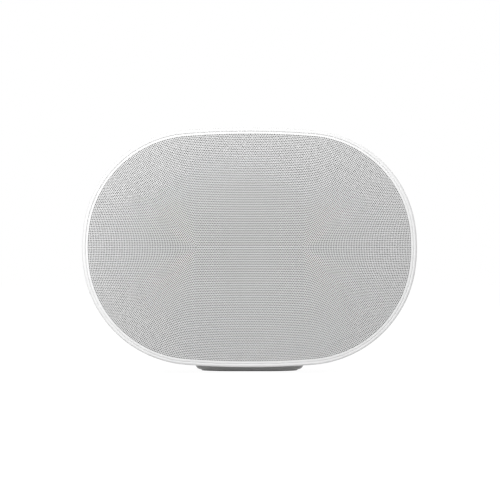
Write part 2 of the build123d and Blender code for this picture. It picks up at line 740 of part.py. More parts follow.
def foot_base():
    top = CENTRE_Z / 2
    body = extrude(Pos(0, WAIST_Y, PAD_PROUD) * foot_outline(0), amount=top)
    body = fillet(body.faces().sort_by(Axis.Z)[0].edges(), FOOT_EDGE_R)
    floor = PAD_T + FOOT_WALL
    body -= extrude(Pos(0, WAIST_Y, floor) * foot_outline(FOOT_WALL), amount=top)
    body -= extrude(Pos(0, WAIST_Y, 0) * foot_outline(PAD_INSET - FIT), amount=PAD_T)
    body += Pos(0, WAIST_Y, 0) * rod(INSERT_BOSS_R, PAD_T, PAD_T + INSERT_LENGTH + FOOT_WALL)
    body -= Pos(0, WAIST_Y, 0) * rod(INSERT_R, 0, PAD_T + INSERT_LENGTH)
    for x, y in foot_screw_places():
        body += Pos(x, y, 0) * rod(FOOT_POST_R, PAD_T, POST_END - FIT)
        body -= Pos(x, y, 0) * rod(SCREW_R + SCREW_FIT, 0, POST_END)
        body -= Pos(x, y, 0) * rod(HEAD_R + SCREW_FIT, 0, PAD_T + HEAD_T + SCREW_FIT)
    return body - filled(-FIT, SIDE_WINDOW_FRONT, REAR_HUB_Y)


def foot_pad():
    pad = extrude(Pos(0, WAIST_Y, 0) * foot_outline(PAD_INSET), amount=PAD_T - SCREW_FIT)
    return pad - Pos(0, WAIST_Y, 0) * rod(INSERT_R + FIT, -1, PAD_T)


def mount_insert():
    place = Pos(0, WAIST_Y, PAD_T)
    return place * (rod(INSERT_R, 0, INSERT_LENGTH) - rod(INSERT_BORE_R, 0, INSERT_LENGTH))


def foot_screws():
    """Screws up through the foot into the shell's posts, under the pad."""
    length = POST_END - PAD_T - HEAD_T + SCREW_BITE - 1
    seat = PAD_T + HEAD_T + SCREW_FIT / 2
    return group([downward(x, y, seat) * screw(length) for x, y in foot_screw_places()])


# ---- Speaker enclosure ----
def beyond(seat, depth):
    """Everything in front of a driver's seat, from this depth inside it."""
    reach = FACE_WIDTH
    return seat * Pos(0, 0, reach / 2 - depth) * Box(2 * reach, 2 * reach, reach)


def chamber(depth, front, back):
    """The enclosure's body between two depths along Y, this deep inside its own skin."""
    body = filled(BOX_SKIN + depth, front, back)
    for side in SIDES.values():
        body -= beyond(woofer_seat(side), depth)
        body -= beyond(side_seat(side), depth)
    pocket = Pos(0, 0, CENTRE_Z / 2 - depth) * Box(POCKET_WIDTH + 2 * depth, FACE_WIDTH, CENTRE_Z)
    return body - top_seat() * pocket


def box_screw_places():
    """Where the two halves of the enclosure are screwed together, seen from the back."""
    inset = skin_inset(WAIST_Y, BOX_SKIN + BOX_WALL) + BOX_BOSS_R - BOX_WALL / 2
    rise = oval_height(BOX_SCREW_X, inset)
    reach = oval_reach(BOX_SCREW_RISE, inset)
    corners = [(x, CENTRE_Z + z) for x in (-BOX_SCREW_X, BOX_SCREW_X) for z in (-rise, rise)]
    return corners + [(-reach, CENTRE_Z + BOX_SCREW_RISE), (reach, CENTRE_Z + BOX_SCREW_RISE)]


SPLIT_FRONT = WAIST_Y - SEAL_T / 2
SPLIT_BACK = WAIST_Y + SEAL_T / 2


def driver_openings():
    throat = rod(WOOFER_R - FLANGE_WIDTH + FIT, -2 * BOX_WALL, 1)
    cuts = [woofer_seat(side) * throat for side in SIDES.values()]
    for seat, mouth, depth in TWEETERS.values():
        cuts.append(seat * rod(mouth + HORN_WALL + FIT, -2 * BOX_WALL, 1))
    for place, clamped in driver_screw_places():
        cuts.append(place * rod(SCREW_R + SCREW_FIT, -2 * BOX_WALL, 1))
    return cuts


def enclosure_front():
    body = chamber(0, BOX_FRONT, SPLIT_FRONT)
    hollow = chamber(BOX_WALL, BOX_FRONT + BOX_WALL, SPLIT_FRONT + 1)
    for x, z in box_screw_places():
        hollow -= backward(x, SPLIT_FRONT, z) * rod(BOX_BOSS_R, -BOX_BOSS_LENGTH, 1)
    body -= hollow
    for x, z in box_screw_places():
        body -= backward(x, SPLIT_FRONT, z) * rod(SCREW_R + SCREW_FIT, -SCREW_BITE - 1, 1)
    for cut in driver_openings():
        body -= cut
    return body


def board_places(width, height, x, z):
    """A board's four screws, on the rear wall's plane."""
    dx, dz = width / 2 - BOARD_EDGE, height / 2 - BOARD_EDGE
    return [(x + i * dx, z + k * dz) for i in (-1, 1) for k in (-1, 1)]


BOARD_SCREWS = (
    board_places(LOGIC_WIDTH, LOGIC_HEIGHT, -LOGIC_X, LOGIC_Z)
    + board_places(LOGIC_WIDTH, LOGIC_HEIGHT, LOGIC_X, LOGIC_Z)
    + board_places(POWER_WIDTH, POWER_HEIGHT, 0, POWER_Z)
)
GROMMET_Z = (LOGIC_Z - LOGIC_HEIGHT / 2 + POWER_Z + POWER_HEIGHT / 2) / 2


def enclosure_back():
    body = chamber(0, SPLIT_BACK, BOX_BACK)
    hollow = filled(BOX_SKIN + BOX_WALL, SPLIT_BACK - 1, BOX_BACK - BOX_WALL)
    for x, z in box_screw_places():
        hollow -= backward(x, 0, z) * rod(BOX_BOSS_R, SPLIT_BACK - 2, BOX_BACK)
    body -= hollow
    for x, z in box_screw_places():
        body -= backward(x, 0, z) * rod(SCREW_R + SCREW_FIT, SPLIT_BACK - 1, BOX_BACK + 1)
        body -= backward(x, 0, z) * rod(HEAD_R + SCREW_FIT, BOX_BACK - HEAD_T, BOX_BACK + 1)
    for x, z in BOARD_SCREWS:
        body += backward(x, BOX_BACK, z) * rod(STANDOFF_R, -BOX_WALL, STANDOFF)
        body -= backward(x, BOX_BACK, z) * rod(SCREW_R + SCREW_FIT, STANDOFF - SCREW_BITE, STANDOFF + 1)
    for x, z in lug_places():
        body -= backward(x, BOX_BACK, z) * rod(SCREW_R + SCREW_FIT, -BOX_WALL - 1, 1)
    return body - backward(0, BOX_BACK, GROMMET_Z) * rod(GROMMET_R, -BOX_WALL - 1, 1)


def enclosure_seal():
    front, back = SPLIT_FRONT, SPLIT_BACK
    outer, inner = skin_inset(WAIST_Y, BOX_SKIN), skin_inset(WAIST_Y, BOX_SKIN + BOX_WALL)
    return swept(section(corner(outer, front), corner(inner, front), corner(inner, back), corner(outer, back)))


def enclosure_screws():
    places = [backward(x, BOX_BACK - HEAD_T + SCREW_FIT / 2, z) for x, z in box_screw_places()]
    length = BOX_BACK - HEAD_T - SPLIT_FRONT + SCREW_BITE
    return group([place * screw(length) for place in places])


def chassis_screws():
    """Screws through the shell's lugs into the enclosure's back."""
    top = BOX_BACK + FIT + LUG_T
    return group([backward(x, top, z) * screw(LUG_T + FIT + BOX_WALL - FIT) for x, z in lug_places()])


def driver_screws():
    places = driver_screw_places()
    return group([place * Pos(0, 0, clamped) * screw(clamped + BOX_WALL) for place, clamped in places])


# ---- Woofers, built round Z with the seat at zero and the front upwards ----
FLANGE_TOP = GASKET_T + FLANGE_T
HOLE_R = WOOFER_R - FLANGE_WIDTH
CONE_RIM = FLANGE_TOP - CONE_T / 3
NECK_Z = CONE_RIM - CONE_DEPTH
BASKET_FLOOR = GASKET_T - BASKET_DEPTH
PLATE_TOP = BASKET_FLOOR - BASKET_WALL
GAP_R = COIL_R + COIL_T + COIL_GAP
SPIDER_Z = NECK_Z - CONE_TRAVEL - 6.0


def woofer_screw_holes():
    spots = round_places(WOOFER_SCREWS, WOOFER_R - FLANGE_WIDTH / 2)
    return [spot * rod(SCREW_R + SCREW_FIT, -1, FLANGE_TOP + 1) for spot in spots]


def woofer_gasket():
    body = ring(WOOFER_R, HOLE_R, 0, GASKET_T)
    for hole in woofer_screw_holes():
        body -= hole
    return body


def basket_radius(z):
    """Outer radius of the basket's sloping wall at this height."""
    share = (GASKET_T - z) / BASKET_DEPTH
    return HOLE_R - FIT + share * (MAGNET_R - FIT - HOLE_R)


def woofer_frame():
    inner_top = basket_radius(GASKET_T) - BASKET_WALL
    ledge_r = basket_radius(SPIDER_Z)
    body = turned(
        (WOOFER_R, GASKET_T),
        (WOOFER_R, FLANGE_TOP),
        (inner_top, FLANGE_TOP),
        (inner_top, GASKET_T),
        (ledge_r - BASKET_WALL, SPIDER_Z),
        (ledge_r - 2 * BASKET_WALL, SPIDER_Z),
        (ledge_r - 2 * BASKET_WALL, SPIDER_Z - BASKET_WALL),
        (MAGNET_R - 2 * BASKET_WALL, BASKET_FLOOR),
        (GAP_R, BASKET_FLOOR),
        (GAP_R, PLATE_TOP),
        (MAGNET_R, PLATE_TOP),
        (MAGNET_R, BASKET_FLOOR),
        (HOLE_R - FIT, GASKET_T),
    )
    low, high = SPIDER_Z + BASKET_WALL, -BOX_WALL
    width = 2 * math.pi * basket_radius(low) / BASKET_WINDOWS - 3 * BASKET_WALL
    window = Pos(HOLE_R, 0, (low + high) / 2) * Box(HOLE_R, width, high - low)
    for i in range(BASKET_WINDOWS):
        body -= Rot(0, 0, i * 360 / BASKET_WINDOWS) * window
    for hole in woofer_screw_holes():
        body -= hole
    return body


def woofer_magnet():
    """Top plate, magnet ring and back plate with its pole, with the coil's gap between them."""
    back = PLATE_TOP - PLATE_T - MAGNET_T
    pole = COIL_R - COIL_GAP
    return turned(
        (0, back - PLATE_T),
        (MAGNET_R, back - PLATE_T),
        (MAGNET_R, PLATE_TOP),
        (GAP_R, PLATE_TOP),
        (GAP_R, PLATE_TOP - PLATE_T),
        (GAP_R + COIL_GAP, back),
        (pole, back),
        (pole, PLATE_TOP),
        (0, PLATE_TOP),
    )


def woofer_coil():
    return ring(COIL_R + COIL_T, COIL_R, NECK_Z - COIL_LENGTH, NECK_Z)


def woofer_cone():
    neck = COIL_R + COIL_T
    cap_edge = neck + 3.0
    cone = turned(
        (neck, NECK_Z),
        (CONE_R - 1.5, CONE_RIM - CONE_T),
        (CONE_R, CONE_RIM - CONE_T),
        (CONE_R, CONE_RIM),
        (CONE_R - 1.5 - CONE_T, CONE_RIM),
        (neck, NECK_Z + CONE_T),
        (0, NECK_Z + CONE_T),
        (0, NECK_Z),
    )
    cap_rise = cap_edge / 3
    slope = (CONE_RIM - NECK_Z) / (CONE_R - neck)
    foot = NECK_Z + CONE_T + slope * (cap_edge - neck) - CONE_T / 2
    cap = turned(
        crown(cap_edge, foot, cap_rise),
        *backwards([crown(cap_edge - CONE_T, foot - CONE_T, cap_rise)]),
    )
    return joined(cone, cap)


def rolled(inner, outer, low, thickness, lip):
    """A half roll between two flat lips."""
    mid, big = (inner + outer) / 2, (outer - inner) / 2
    small = big - thickness
    top = low + thickness
    return turned(
        (inner - lip, low),
        (inner - lip, top),
        ThreePointArc((mid - big, top), (mid, top + big), (mid + big, top)),
        (outer + lip, top),
        (outer + lip, low),
        (mid + small, low),
        ThreePointArc((mid + small, top), (mid, top + small), (mid - small, top)),
        (mid - small, low),
    )


def woofer_surround():
    outer = basket_radius(GASKET_T) - BASKET_WALL + FIT
    return rolled(CONE_R, outer - FIT, FLANGE_TOP + FIT, SURROUND_T, 1.5)


def woofer_spider():
    """A corrugated disc between the coil and the basket's inner ledge."""
    inner = COIL_R + COIL_T + 2 * FIT
    outer = basket_radius(SPIDER_Z) - BASKET_WALL - 2 * FIT
    low = SPIDER_Z + FIT
    return rolled(inner + 1.5, outer - 2.5, low, SURROUND_T, 1.0)


# ---- Tweeters, built the same way ----
def horn(mouth, depth):
    """A flared waveguide with a flange on its seat and a neck for the motor."""
    top = HORN_FLANGE_T
    throat = top - depth
    waist_r = THROAT_R + (mouth - THROAT_R) * BELL_SHARE
    bell = ThreePointArc((mouth, top), (waist_r, top - depth * BELL_DEPTH), (THROAT_R, throat))
    body = turned(
        bell,
        (MOTOR_R, throat),
        (MOTOR_R, throat + HORN_NECK),
        (mouth + HORN_WALL, -HORN_WALL),
        (mouth + HORN_WALL, 0),
        (mouth + HORN_LIP, 0),
        (mouth + HORN_LIP, top),
    )
    for spot in round_places(TWEETER_SCREWS, mouth + HORN_LIP - HEAD_R):
        body -= spot * rod(SCREW_R + SCREW_FIT, -1, top + 1)
    return body


def tweeter_dome():
    """Soft dome, flat edge and voice coil, with the motor's plate at zero."""
    edge = DOME_TRAVEL + 2 * FIT
    low = edge + DOME_T
    rise = DOME_R * 0.42
    coil = DOME_R - DOME_T
    return turned(
        crown(DOME_R, low, rise),
        (DOME_R + 1, low),
        (DOME_R + 1, edge),
        (DOME_R, edge),
        (DOME_R, -TWEETER_COIL),
        (coil, -TWEETER_COIL),
        *backwards([crown(coil, edge, rise)]),
    )


def tweeter_motor():
    """Cup, magnet and plates, with the coil's gap."""
    gap_out, gap_in = DOME_R + COIL_GAP, DOME_R - DOME_T - COIL_GAP
    deep = -TWEETER_COIL - 4 * DOME_TRAVEL
    return turned(
        (0, -MOTOR_LENGTH),
        (MOTOR_R, -MOTOR_LENGTH),
        (MOTOR_R, -FIT),
        (gap_out, -FIT),
        (gap_out, deep),
        (gap_in, deep),
        (gap_in, -FIT),
        (0, -FIT),
    )


# ---- Electronics ----
def board(width, height, x, z, y, screws):
    body = block(x - width / 2, x + width / 2, y, y + BOARD_T, z - height / 2, z + height / 2)
    for sx, sz in screws:
        body -= backward(sx, y, sz) * rod(SCREW_R + SCREW_FIT, -1, BOARD_T + 1)
    return body


def on_board(body, *chips):
    """Adds blocks to a board's back face: middle x and z, width, height and thickness."""
    top = BOARD_Y + BOARD_T
    for x, z, width, height, thick in chips:
        body += block(x - width / 2, x + width / 2, top, top + thick, z - height / 2, z + height / 2)
    return body


RIBBON_X = -LOGIC_X + RIBBON_WIDTH
LOGIC_TOP = LOGIC_Z + LOGIC_HEIGHT / 2
CONNECTOR_T = 4.0
CONNECTOR_HEIGHT = 5.0
POWER_END = POWER_WIDTH / 2
# Width, height and thickness of each part that stands on a board
SHIELD_CAN = (34, 30, 3.2)
MEMORY = (12, 12, 1.2)
EDGE_SOCKET = (18, 5, 5)
OUTPUT_COIL = (8, 7, 5)
TRANSFORMER = (28, 26, 16)
LINE_FILTER = (8, 10, 8)
CHOKE = (18, 8, 6)
CAPACITOR_R = 6.3
CAPACITOR_LENGTH = 22.0
COIL_PITCH = 11.0


def main_board():
    """The logic board: a shield can, memory, and connectors for the ribbon and the ports."""
    screws = board_places(LOGIC_WIDTH, LOGIC_HEIGHT, -LOGIC_X, LOGIC_Z)
    body = board(LOGIC_WIDTH, LOGIC_HEIGHT, -LOGIC_X, LOGIC_Z, BOARD_Y, screws)
    return on_board(
        body,
        (-LOGIC_X - 10, LOGIC_Z, *SHIELD_CAN),
        (-LOGIC_X + 18, LOGIC_Z - 8, *MEMORY),
        (-LOGIC_X + 18, LOGIC_Z - 21, *EDGE_SOCKET),
        (RIBBON_X, LOGIC_TOP - 3, RIBBON_WIDTH + 4, CONNECTOR_HEIGHT, CONNECTOR_T),
    )


def amp_board():
    """The amplifier board; its output coils stand round the heat sink."""
    screws = board_places(LOGIC_WIDTH, LOGIC_HEIGHT, LOGIC_X, LOGIC_Z)
    body = board(LOGIC_WIDTH, LOGIC_HEIGHT, LOGIC_X, LOGIC_Z, BOARD_Y, screws)
    first = LOGIC_X - 1.5 * COIL_PITCH
    low = LOGIC_Z - LOGIC_HEIGHT / 2 + OUTPUT_COIL[1]
    coils = [(first + i * COIL_PITCH, low, *OUTPUT_COIL) for i in range(4)]
    return on_board(body, *coils)


def heat_sink():
    base = BOARD_Y + BOARD_T
    low, high = LOGIC_Z - LOGIC_HEIGHT / 2 + SINK_RISE, LOGIC_TOP - SINK_TOP
    width = LOGIC_WIDTH - 2 * SINK_MARGIN
    left = LOGIC_X - width / 2
    body = block(left, left + width, base, base + 2 * FIN_T, low, high)
    step = (width - FIN_T) / (FINS - 1)
    for i in range(FINS):
        fin = left + i * step
        body += block(fin, fin + FIN_T, base, base + SINK_DEPTH, low, high)
    return body


def power_board():
    """The power supply: a transformer, two capacitors and a filter choke."""
    screws = board_places(POWER_WIDTH, POWER_HEIGHT, 0, POWER_Z)
    body = board(POWER_WIDTH, POWER_HEIGHT, 0, POWER_Z, BOARD_Y, screws)
    body = on_board(
        body,
        (22 - POWER_END, POWER_Z, *TRANSFORMER),
        (POWER_END - 35, POWER_Z - 12, *LINE_FILTER),
        (0, POWER_Z + 10, *CHOKE),
    )
    for inset in (25, 11):
        body += backward(POWER_END - inset, BOARD_Y, POWER_Z + 2) * rod(CAPACITOR_R, 0, CAPACITOR_LENGTH)
    return body


def board_screws():
    top = BOARD_Y + BOARD_T
    return group([backward(x, top, z) * screw(SCREW_BITE + BOARD_T - 1) for x, z in BOARD_SCREWS])


# ---- Back cover and ports ----
PORT_BOARD_Y = COVER_SEAT - PORT_STANDOFF - BOARD_T
PORT_FACE = PORT_BOARD_Y + BOARD_T
SLOT_WIDTH = SWITCH_WIDTH + SWITCH_TRAVEL + 2 * SLIDE_FIT
FLANGE_LIP = 1.4
STEM_R = 1.6
STEM_GAP = 0.35
BUTTON_SWITCH_T = 1.0
SWITCH_BODY_T = 1.2
GROOVE_HALF = 0.6
PORT_POST_EDGE = 3.5
PORT_POST_X = PORT_WIDTH / 2 - PORT_POST_EDGE
PORT_POST_RISE = PORT_HEIGHT / 2 - PORT_POST_EDGE
PORT_SPOTS = [(x, PORT_Z + z) for x in (-PORT_POST_X, PORT_POST_X) for z in (-PORT_POST_RISE, PORT_POST_RISE)]


def inlet_face(grow):
    """The two-lobed outline of the power socket."""
    size = (INLET_PIN_PITCH + 2 * (INLET_LOBE_R + grow), 2 * (INLET_LOBE_R + grow))
    return SlotOverall(*size)


def rear_cover():
    body = oval_plate(REAR_EDGE + FIT, COVER_SEAT, BACK_Y)
    well_front = BACK_Y - RECESS_DEPTH - COVER_WALL
    grow = 2 * COVER_WALL
    face = backward(0, 0, INLET_Z)
    size = (RECESS_WIDTH, RECESS_HEIGHT, RECESS_CORNER)
    well = (size[0] + grow, size[1] + grow, size[2] + COVER_WALL)
    body += rounded_prism(face, *well, well_front, COVER_SEAT)
    body -= rounded_prism(face, *size, BACK_Y - RECESS_DEPTH, BACK_Y + 1)
    body -= extrude(face * Pos(0, 0, well_front - 1) * inlet_face(INLET_WALL + FIT), amount=2 * COVER_WALL)
    for x, z in PORT_SPOTS:
        body += backward(x, 0, z) * rod(PORT_POST_R, PORT_FACE + FIT / 3, COVER_SEAT + 1)
    body -= backward(0, 0, BUTTON_Z) * rod(BUTTON_R + SLIDE_FIT, COVER_SEAT - 1, BACK_Y + 1)
    slot = (SLOT_WIDTH, SWITCH_HEIGHT + 2 * SLIDE_FIT, SLOT_CORNER)
    body -= rounded_prism(backward(SWITCH_MIDDLE, 0, SWITCH_Z), *slot, COVER_SEAT - 1, BACK_Y + 1)
    port = (USB_WIDTH + 2 * FIT, USB_HEIGHT + 2 * FIT, USB_HEIGHT / 2)
    return body - rounded_prism(backward(0, 0, USB_Z), *port, COVER_SEAT - 1, BACK_Y + 1)


SWITCH_REST = -SWITCH_TRAVEL / 2
SWITCH_MIDDLE = 0.0


def port_board():
    """Carries the button's switch, the slide switch's body and the data socket."""
    body = block(-PORT_WIDTH / 2, PORT_WIDTH / 2, PORT_BOARD_Y, PORT_FACE,
                 PORT_Z - PORT_HEIGHT / 2, PORT_Z + PORT_HEIGHT / 2)
    body += backward(0, PORT_FACE, BUTTON_Z) * rod(STEM_R, -BOARD_T / 2, BUTTON_SWITCH_T)
    wide, tall = SLOT_WIDTH + 2, SWITCH_HEIGHT + 3
    body += block(SWITCH_MIDDLE - wide / 2, SWITCH_MIDDLE + wide / 2, PORT_FACE - BOARD_T / 2,
                  PORT_FACE + SWITCH_BODY_T, SWITCH_Z - tall / 2, SWITCH_Z + tall / 2)
    return body


def bluetooth_button():
    """Cap, retaining flange behind the cover and the stem that meets the switch."""
    stem_end = PORT_FACE + BUTTON_SWITCH_T + BUTTON_TRAVEL + STEM_GAP
    flange = COVER_SEAT - SLIDE_FIT
    body = rod(BUTTON_R, flange - 1, BACK_Y - BUTTON_DROP) + rod(BUTTON_R + FLANGE_LIP, flange - 1, flange)
    cap = fillet(body.faces().sort_by(Axis.Z)[-1].edges(), BUTTON_EDGE_R)
    return backward(0, 0, BUTTON_Z) * (cap + rod(STEM_R, stem_end, flange))


def mic_switch():
    """The slider's thumb piece and the foot that keeps it in its slot."""
    foot_front = PORT_FACE + SWITCH_BODY_T + STEM_GAP
    z = SWITCH_Z
    wide, tall = SWITCH_WIDTH / 2, SWITCH_HEIGHT / 2
    thumb = block(SWITCH_REST - wide, SWITCH_REST + wide, foot_front, BACK_Y - STEM_GAP, z - tall, z + tall)
    lip = FLANGE_LIP / 2
    thumb += block(SWITCH_REST - wide - lip, SWITCH_REST + wide + lip,
                   foot_front, COVER_SEAT - STEM_GAP, z - tall - lip, z + tall + lip)
    groove_front = BACK_Y - 3 * STEM_GAP
    return thumb - block(SWITCH_REST - GROOVE_HALF, SWITCH_REST + GROOVE_HALF,
                         groove_front, BACK_Y, z - SWITCH_HEIGHT, z + SWITCH_HEIGHT)


def usb_port():
    """A flat metal socket with its contact tongue."""
    plane = backward(0, 0, USB_Z)
    front, back = PORT_FACE + FIT / 3, BACK_Y - STEM_GAP
    outer = rounded_prism(plane, USB_WIDTH, USB_HEIGHT, USB_HEIGHT * 0.49, front, back)
    inner = (USB_WIDTH - 2 * USB_WALL, USB_HEIGHT - 2 * USB_WALL)
    hollow = rounded_prism(plane, *inner, inner[1] * 0.49, front + 1.5, back + 1)
    return outer - hollow + plane * Pos(0, 0, (front + back) / 2) * Box(inner[0] - 1.6, 0.7, back - front - 1.5)


def power_inlet():
    """A two-pin socket held through the recess's floor."""
    mouth = BACK_Y - RECESS_DEPTH
    back = mouth - INLET_DEPTH - INLET_WALL
    face = backward(0, 0, INLET_Z)
    body = extrude(face * Pos(0, 0, back) * inlet_face(INLET_WALL), amount=mouth - back + 1.0)
    flange_front = mouth - COVER_WALL - FIT
    body += extrude(face * Pos(0, 0, flange_front - 2) * inlet_face(INLET_WALL + 2), amount=2)
    body -= extrude(face * Pos(0, 0, mouth - INLET_DEPTH) * inlet_face(0), amount=INLET_DEPTH + 2)
    for side in SIDES.values():
        pin = backward(side * INLET_PIN_PITCH / 2, 0, INLET_Z)
        body += pin * rod(INLET_PIN_R, mouth - INLET_DEPTH - 1, mouth - INLET_DEPTH + PIN_LENGTH)
    return body


# ---- Leads and aerials ----
def touch_ribbon():
    """Flat cable down from the touch board to its connector on the main board."""
    y = BOARD_Y + BOARD_T + CONNECTOR_T + FIT
    low = LOGIC_TOP - 5
    return block(RIBBON_X - RIBBON_WIDTH / 2, RIBBON_X + RIBBON_WIDTH / 2, y, y + RIBBON_T,
                 low, TOUCH_BOARD_TOP - BOARD_T - FIT)


def lead_grommet():
    out = rod(GROMMET_R - FIT, -BOX_WALL - FIT, FIT) + rod(GROMMET_R + 2, FIT, 1.5 + FIT)
    for side in SIDES.values():
        out -= Pos(side * 2 * LEAD_R, 0, 0) * rod(LEAD_R + FIT, -2 * BOX_WALL, 2 * BOX_WALL)
    return backward(0, BOX_BACK, GROMMET_Z) * out


def driver_leads():
    """A lead from the grommet to the back of each woofer's magnet."""
    leads = []
    for side in SIDES.values():
        seat = woofer_seat(side)
        rear = PLATE_TOP - 2 * PLATE_T - MAGNET_T - FIT
        stop = (seat * Pos(0, 0, rear)).position
        bend = (seat * Pos(0, 0, rear - LEAD_BEND)).position
        start = Vector(side * 2 * LEAD_R, BOX_BACK + 2, GROMMET_Z)
        turn = Vector(side * 2 * LEAD_R, BOX_BACK - BOX_WALL - LEAD_BEND, GROMMET_Z)
        path = FilletPolyline(start, turn, bend, stop, radius=LEAD_BEND / 4)
        leads.append(sweep(Plane(origin=start, z_dir=(0, -1, 0)) * Circle(LEAD_R), path=path))
    return group(leads)


def antennas():
    z = LOGIC_TOP + ANTENNA_HEIGHT / 2 + 2
    y = BOX_BACK + SCREW_FIT / 2
    return group([block(x - ANTENNA_LENGTH / 2, x + ANTENNA_LENGTH / 2, y, y + ANTENNA_T,
                        z - ANTENNA_HEIGHT / 2, z + ANTENNA_HEIGHT / 2) for x in (-ANTENNA_X, ANTENNA_X)])


# ---- The assembly ----
def driver_nodes():
    nodes = {}
    pieces = {
        "gasket": woofer_gasket(),
        "frame": woofer_frame(),
        "magnet": woofer_magnet(),
        "coil": woofer_coil(),
        "spider": woofer_spider(),
        "cone": woofer_cone(),
        "surround": woofer_surround(),
    }
    for name, side in SIDES.items():
        for piece, solid in pieces.items():
            nodes[f"woofer_{piece}_{name}"] = woofer_seat(side) * solid
    for name, (seat, mouth, depth) in TWEETERS.items():
        plate = seat * Pos(0, 0, HORN_FLANGE_T - depth)
        nodes[f"tweeter_horn_{name}"] = seat * horn(mouth, depth)
        nodes[f"tweeter_dome_{name}"] = plate * tweeter_dome()
        nodes[f"tweeter_motor_{name}"] = plate * tweeter_motor()
    return nodes


def assembly():
    simple = [
        front_grille, grille_scrim, outer_shell, top_grille, touch_panel, touch_board, status_light,
        foot_base, foot_pad, mount_insert, foot_screws,
        enclosure_front, enclosure_back, enclosure_seal, enclosure_screws, chassis_screws, driver_screws,
        main_board, amp_board, heat_sink, power_board, board_screws,
        rear_cover, port_board, bluetooth_button, mic_switch, usb_port, power_inlet,
        touch_ribbon, lead_grommet, driver_leads, antennas,
    ]
    nodes = {make.__name__: make() for make in simple}
    for name, side in SIDES.items():
        nodes[f"side_grille_{name}"] = side_grille(side)
    nodes.update(driver_nodes())
    return nodes


os.makedirs("parts", exist_ok=True)
for name, solid in assembly().items():
    export_step(solid, f"parts/{name}.step")
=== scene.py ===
"""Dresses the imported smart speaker: perforated grilles, finishes, floor, lamps and camera."""
import bmesh
import bpy
import json
import math
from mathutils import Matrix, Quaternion, Vector


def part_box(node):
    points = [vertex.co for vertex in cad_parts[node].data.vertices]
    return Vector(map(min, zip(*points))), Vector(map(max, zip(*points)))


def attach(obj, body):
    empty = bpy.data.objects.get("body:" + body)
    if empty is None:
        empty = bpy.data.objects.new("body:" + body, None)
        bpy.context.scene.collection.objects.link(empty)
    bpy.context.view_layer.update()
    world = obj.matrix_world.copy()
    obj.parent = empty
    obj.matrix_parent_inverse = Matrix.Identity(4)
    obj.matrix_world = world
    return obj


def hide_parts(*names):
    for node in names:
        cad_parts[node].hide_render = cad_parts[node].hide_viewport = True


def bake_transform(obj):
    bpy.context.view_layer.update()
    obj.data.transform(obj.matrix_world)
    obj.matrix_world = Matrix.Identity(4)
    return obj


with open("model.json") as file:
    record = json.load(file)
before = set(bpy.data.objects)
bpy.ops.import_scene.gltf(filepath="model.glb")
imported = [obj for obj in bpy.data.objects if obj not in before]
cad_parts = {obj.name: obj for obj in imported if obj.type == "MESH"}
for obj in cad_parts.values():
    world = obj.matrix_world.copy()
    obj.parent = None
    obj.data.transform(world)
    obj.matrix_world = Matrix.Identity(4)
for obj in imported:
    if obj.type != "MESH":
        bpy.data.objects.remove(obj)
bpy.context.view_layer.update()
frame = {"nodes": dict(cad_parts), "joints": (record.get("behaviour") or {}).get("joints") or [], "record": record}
MM = 0.001

# ---- The housing's outline, an oval of arcs seen from the front ----
SHELL_LOW, SHELL_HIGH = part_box("outer_shell")
GRILLE_LOW, GRILLE_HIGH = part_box("front_grille")
GRILLE_EDGE = 2.95 * MM  # from the outline to the grille
HALF_WIDTH = (SHELL_HIGH.x - SHELL_LOW.x) / 2
HALF_HEIGHT = (GRILLE_HIGH.z - GRILLE_LOW.z) / 2 + GRILLE_EDGE
CENTRE_Z = (GRILLE_HIGH.z + GRILLE_LOW.z) / 2
TOP_CROWN = 1.6 * MM  # of the middle of the top above its ends
SIDE_CROWN = 0.3 * MM
SHOULDER_RISE = 4.5 * MM  # of the shoulders' centres above the middle
SHOULDER_R = HALF_HEIGHT - TOP_CROWN - SHOULDER_RISE
SHOULDER_X = HALF_WIDTH - SIDE_CROWN - SHOULDER_R
END_R = SHOULDER_RISE**2 / (2 * SIDE_CROWN) + SHOULDER_R + SIDE_CROWN / 2
TOP_R = SHOULDER_X**2 / (2 * TOP_CROWN) + SHOULDER_R + TOP_CROWN / 2
END_X = HALF_WIDTH - END_R
TOP_Z = HALF_HEIGHT - TOP_R
# Angles at which the shoulder meets the end's arc and the top's arc
LOW = math.atan2(SHOULDER_RISE, SHOULDER_X - END_X)
HIGH = math.atan2(SHOULDER_RISE - TOP_Z, SHOULDER_X)

# ---- Front grille ----
GRILLE_SKIRT = 6.5 * MM  # of its side wall, front to back
DOME_RISE = 10 * MM
FLAT_R = 12 * MM  # what is left of the shoulder's radius where the dome ends
CORE = SHOULDER_R - FLAT_R
DOME_SKIN_R = ((CORE - GRILLE_EDGE) ** 2 + DOME_RISE**2) / (2 * DOME_RISE)
BORDER = 4.4 * MM  # from the outline to the edge of the holes
RINGS = 66
RING_SPAN = RINGS + 0.5  # from the level line to the edge of the holes, in rings
FOCUS = 40.6 * MM  # ends of the level line that the rings of holes go round
STRAIGHT = 61  # holes across the straight middle of a ring
TURN_HOLES = 1.5  # that each ring adds to each of its four turns
HOLE_R = 0.52 * MM
RIM_SOFT = 0.3 * MM  # radius of the grille's softened edge
LEDGE_DEPTH = 0.7 * MM  # of the ledge that closes the parting line
LEDGE_EDGE = 2.55 * MM  # from the outline to the ledge, under the rim's edge

# ---- The housing's profile from the rim to the back: a bulge and the two hollows behind it ----
RIM_DEPTH = 12.1 * MM  # of the rim behind the grille's front
RIM_Y = GRILLE_LOW.y + RIM_DEPTH
FRONT_R = 75 * MM
WAIST_Y = 22 * MM
WAIST_DEPTH = 23 * MM
WAIST_RUN = WAIST_Y - RIM_Y
WAIST_R = (WAIST_RUN**2 + WAIST_DEPTH**2) / (2 * WAIST_DEPTH) - FRONT_R
REAR_HOLLOW_R = 100 * MM
# Where the bulge behind the rim turns into the front hollow
BULGE_END = RIM_Y + FRONT_R * WAIST_RUN / (FRONT_R + WAIST_R)

